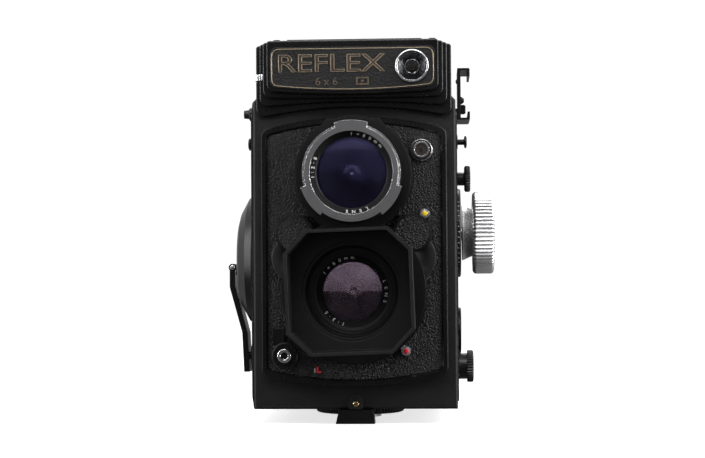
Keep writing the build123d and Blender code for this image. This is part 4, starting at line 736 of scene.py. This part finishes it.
lathe(bm, "Z", (-32.9, -35.9, 0), (
    (129.8, 0), (129.8, 4.3), (129.95, 4.55, 1), (130.1, 4.6, 1), (131.9, 4.6, 1), (132.05, 4.55, 1),
    (132.2, 4.3), (132.2, 0)), 240, 30, 0.3, 0.8)
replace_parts(piece("film_speed_wheel_ribbed", bm, SATIN_CHROME, "film_speed_wheel", 40),
            "film_speed_wheel")
bm = bmesh.new()
lathe(bm, "Z", (0, 0, 0), (
    (2.9, 8.7), (2.9, 7.45), (5.1, 7.45), (5.1, 16.8), (4.9, 17.2, 1), (4.5, 17.5, 1), (2.5, 17.5, 1),
    (2.05, 17.2, 1), (1.8, 16.6), (1.8, 16.1), (2.1, 15.9), (2.1, 9.6), (1.8, 9.4), (1.8, 8.9), (1.9, 8.7),
    (2.9, 8.7)), 624, 78, 0.45, 0.8)
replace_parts(piece("base_latch_ring_knurled", bm, SATIN, "base_latch_ring", 40),
            "base_latch_ring")
bm = bmesh.new()
add_bmesh(bm, lettering("O", 2.2, 0.02), placed("-Z", (-12.8, 0, 2.08)))
add_bmesh(bm, lettering("C", 2.2, 0.02), placed("-Z", (12.8, 0, 2.08)))
piece("base_latch_letters", bm, WHITE, "base_latch_ring")

# ---- screws, rivets and pins ---------------------------------------------------------------------
bm = bmesh.new()
slotted_screw(bm, "-Y", (0.1, -36.78, 7.5), 1.0, 0.3, 25)
piece("catch_screw", bm, BRASS, "camera_body")
bm = bmesh.new()
lathe(bm, "X", (0, 8.2, 126.5), ((40.85, 1.75), (41.3, 1.7), (42.2, 1.1), (42.5, 0.7), (42.5, 0)), 6)
cuboid(bm, (40.85, 7.0, 121.0), (43.1, 9.6, 124.7), bevel=0.35)
lathe(bm, "-X", (0, -2.0, 133.0), ((-39.65, 0.95), (-39.3, 0.9), (-39.05, 0.5), (-39.0, 0)), 24)
piece("shoe_stops", bm, SATIN, "camera_body")
bm = bmesh.new()
for x, z in ((-20.0, 127.4), (20.0, 127.4)):
    slotted_screw(bm, "Y", (x, 28.15, z), 1.2, 0.3, 35)
piece("hood_screws", bm, STEEL, "camera_body")
bm = bmesh.new()
for x, y in ((-31.0, 22.0), (31.0, 22.0), (-31.0, -26.0), (31.0, -26.0)):
    slotted_screw(bm, "-Z", (x, y, 5.53), 1.3, 0.3, 50)
piece("base_plate_screws", bm, BRASS, "back_door")
bm = bmesh.new()
for y, facing in ((-6.15, "-Y"), (4.15, "Y")):
    lathe(bm, facing, (-50.4, 0, 59.4), ((abs(y), 0.95), (abs(y) + 0.18, 0.9), (abs(y) + 0.33, 0.55),
                                         (abs(y) + 0.36, 0)), 24)
piece("crank_pin_heads", bm, CHROME, "crank_hub")
bm = bmesh.new()
lathe(bm, "-X", (0, -1.0, 24.3), ((45.7, 2.0), (46.0, 1.9), (46.15, 1.4), (46.2, 0)), 32)
piece("crank_handle_rivet", bm, SATIN_CHROME, "crank_arm")
bm = bmesh.new()
lathe(bm, "-X", (0, -1.0, 62.5), ((47.75, 10.2), (47.95, 10.0), (47.95, 9.2), (47.8, 9.0)), 96)
piece("crank_hub_ring", bm, CHROME, "crank_hub")

# ---- focusing screen grid ------------------------------------------------------------------------
bm = bmesh.new()
for offset in (-14.0, 0.0, 14.0):
    cuboid(bm, (offset - 0.07, -27.0, 125.99), (offset + 0.07, 23.0, 126.05), bevel=0.02)
    cuboid(bm, (-26.5, offset - 2.07, 125.99), (26.5, offset - 1.93, 126.05), bevel=0.02)
piece("screen_grid", bm, RED, "camera_body")

# ---- stage: pale floor, white surround, soft studio light ----------------------------------------
def stage_object(name, bm, material, camera=True, glossy=False):
    """Put a piece of the studio in the scene, seen only by the kinds of ray asked for."""
    mesh = bpy.data.meshes.new(name)
    bm.to_mesh(mesh)
    bm.free()
    mesh.materials.append(material)
    made = bpy.data.objects.new(name, mesh)
    scene.collection.objects.link(made)
    made.visible_camera = camera
    made.visible_glossy = glossy
    made.visible_diffuse = False
    return made


def dome(name, material, camera, glossy):
    """A large sphere of soft light that throws no light on matt surfaces and casts no shadow."""
    bm = bmesh.new()
    bmesh.ops.create_icosphere(bm, subdivisions=4, radius=5.0)
    made = stage_object(name, bm, material, camera, glossy)
    made.visible_transmission = glossy
    made.visible_shadow = False


paper = Graph("floor_paper")
distance = paper.node("ShaderNodeVectorMath", operation="LENGTH")
paper.link(paper.coords, distance.inputs[0])
sheet = paper.mix(paper.remap(paper.noise(0.004), 0.3, 0.7, 0, 1), (0.90, 0.90, 0.90), (0.93, 0.93, 0.93))
paper.finish(sheet, 0.85, specular_ior_level=0.1)
# painted light: the floor glows by itself, more weakly near the middle where the camera body stands and
# full white farther out
paper.link(paper.remap(distance.outputs["Value"], 0.15, 0.9, 0.72, 1.0),
           paper.shader.inputs["Emission Strength"])
paper.shader.inputs["Emission Color"].default_value = (1, 1, 1, 1)
bm = bmesh.new()
bmesh.ops.create_grid(bm, x_segments=2, y_segments=2, size=6.0)
FLOOR_DROP = 0.0002     # clear of the base, so that the two faces don't lie in one plane
stage_object("floor", bm, paper.material).location.z = -FLOOR_DROP

world = bpy.data.worlds.new("studio")
world.use_nodes = True
scene.world = world
backdrop = world.node_tree.nodes["Background"]
backdrop.inputs[0].default_value = (1, 1, 1, 1)
backdrop.inputs[1].default_value = 0.03

white = bpy.data.materials.new("white_surround")
white.use_nodes = True
white.node_tree.nodes.clear()
glow = white.node_tree.nodes.new("ShaderNodeEmission")
glow.inputs["Strength"].default_value = 1.05
white_output = white.node_tree.nodes.new("ShaderNodeOutputMaterial")
white.node_tree.links.new(glow.outputs[0], white_output.inputs["Surface"])
dome("surround", white, True, False)

# what gloss sees: a pale room, darker in front where the photographer stands and down at the table
room = Graph("room_reflection")
split = room.node("ShaderNodeSeparateXYZ")
room.link(room.coords, split.inputs[0])
front_side = room.remap(split.outputs["Y"], -4.9, -3.2, 0.14, 0.55)
up = room.remap(split.outputs["Z"], -1.5, 3.5, 0.35, 1.7)
sides = room.remap(room.math("ABSOLUTE", split.outputs["X"]), 1.0, 4.5, 1.0, 1.3)
patchy = room.math("MULTIPLY", room.remap(room.noise(0.0006, 1.0), 0.35, 0.65, 0.6, 1.25), sides)
room.finish((0, 0, 0), 1.0, specular_ior_level=0.0)
room.link(room.math("MULTIPLY", room.math("MULTIPLY", front_side, up), patchy),
          room.shader.inputs["Emission Strength"])
room.shader.inputs["Emission Color"].default_value = (1, 0.99, 1, 1)
dome("room", room.material, False, True)


def softbox(name, place, aim_at, width, height, watts):
    """Rectangular area light aimed at a point."""
    data = bpy.data.lights.new(name, "AREA")
    data.shape = "RECTANGLE"
    data.size = width
    data.size_y = height
    data.energy = watts
    made = bpy.data.objects.new(name, data)
    scene.collection.objects.link(made)
    made.location = place
    made.rotation_euler = (Vector(aim_at) - Vector(place)).to_track_quat("-Z", "Y").to_euler()
    return made


softbox("front_overhead", (0.0, -0.62, 0.72), (0, 0, 0.09), 0.75, 0.30, 4.5)
softbox("left_strip", (-0.62, -0.22, 0.22), (0, 0, 0.08), 0.10, 0.60, 3.0)
softbox("right_strip", (0.62, -0.22, 0.22), (0, 0, 0.08), 0.14, 0.60, 5.0)
fill = softbox("front_fill", (-0.10, -1.1, 0.16), (0, 0, 0.07), 0.5, 0.5, 1.6)
fill.visible_glossy = False
fill.visible_transmission = False
softbox("rear_top", (0.0, 0.55, 0.75), (0, 0, 0.10), 0.8, 0.4, 4.5)
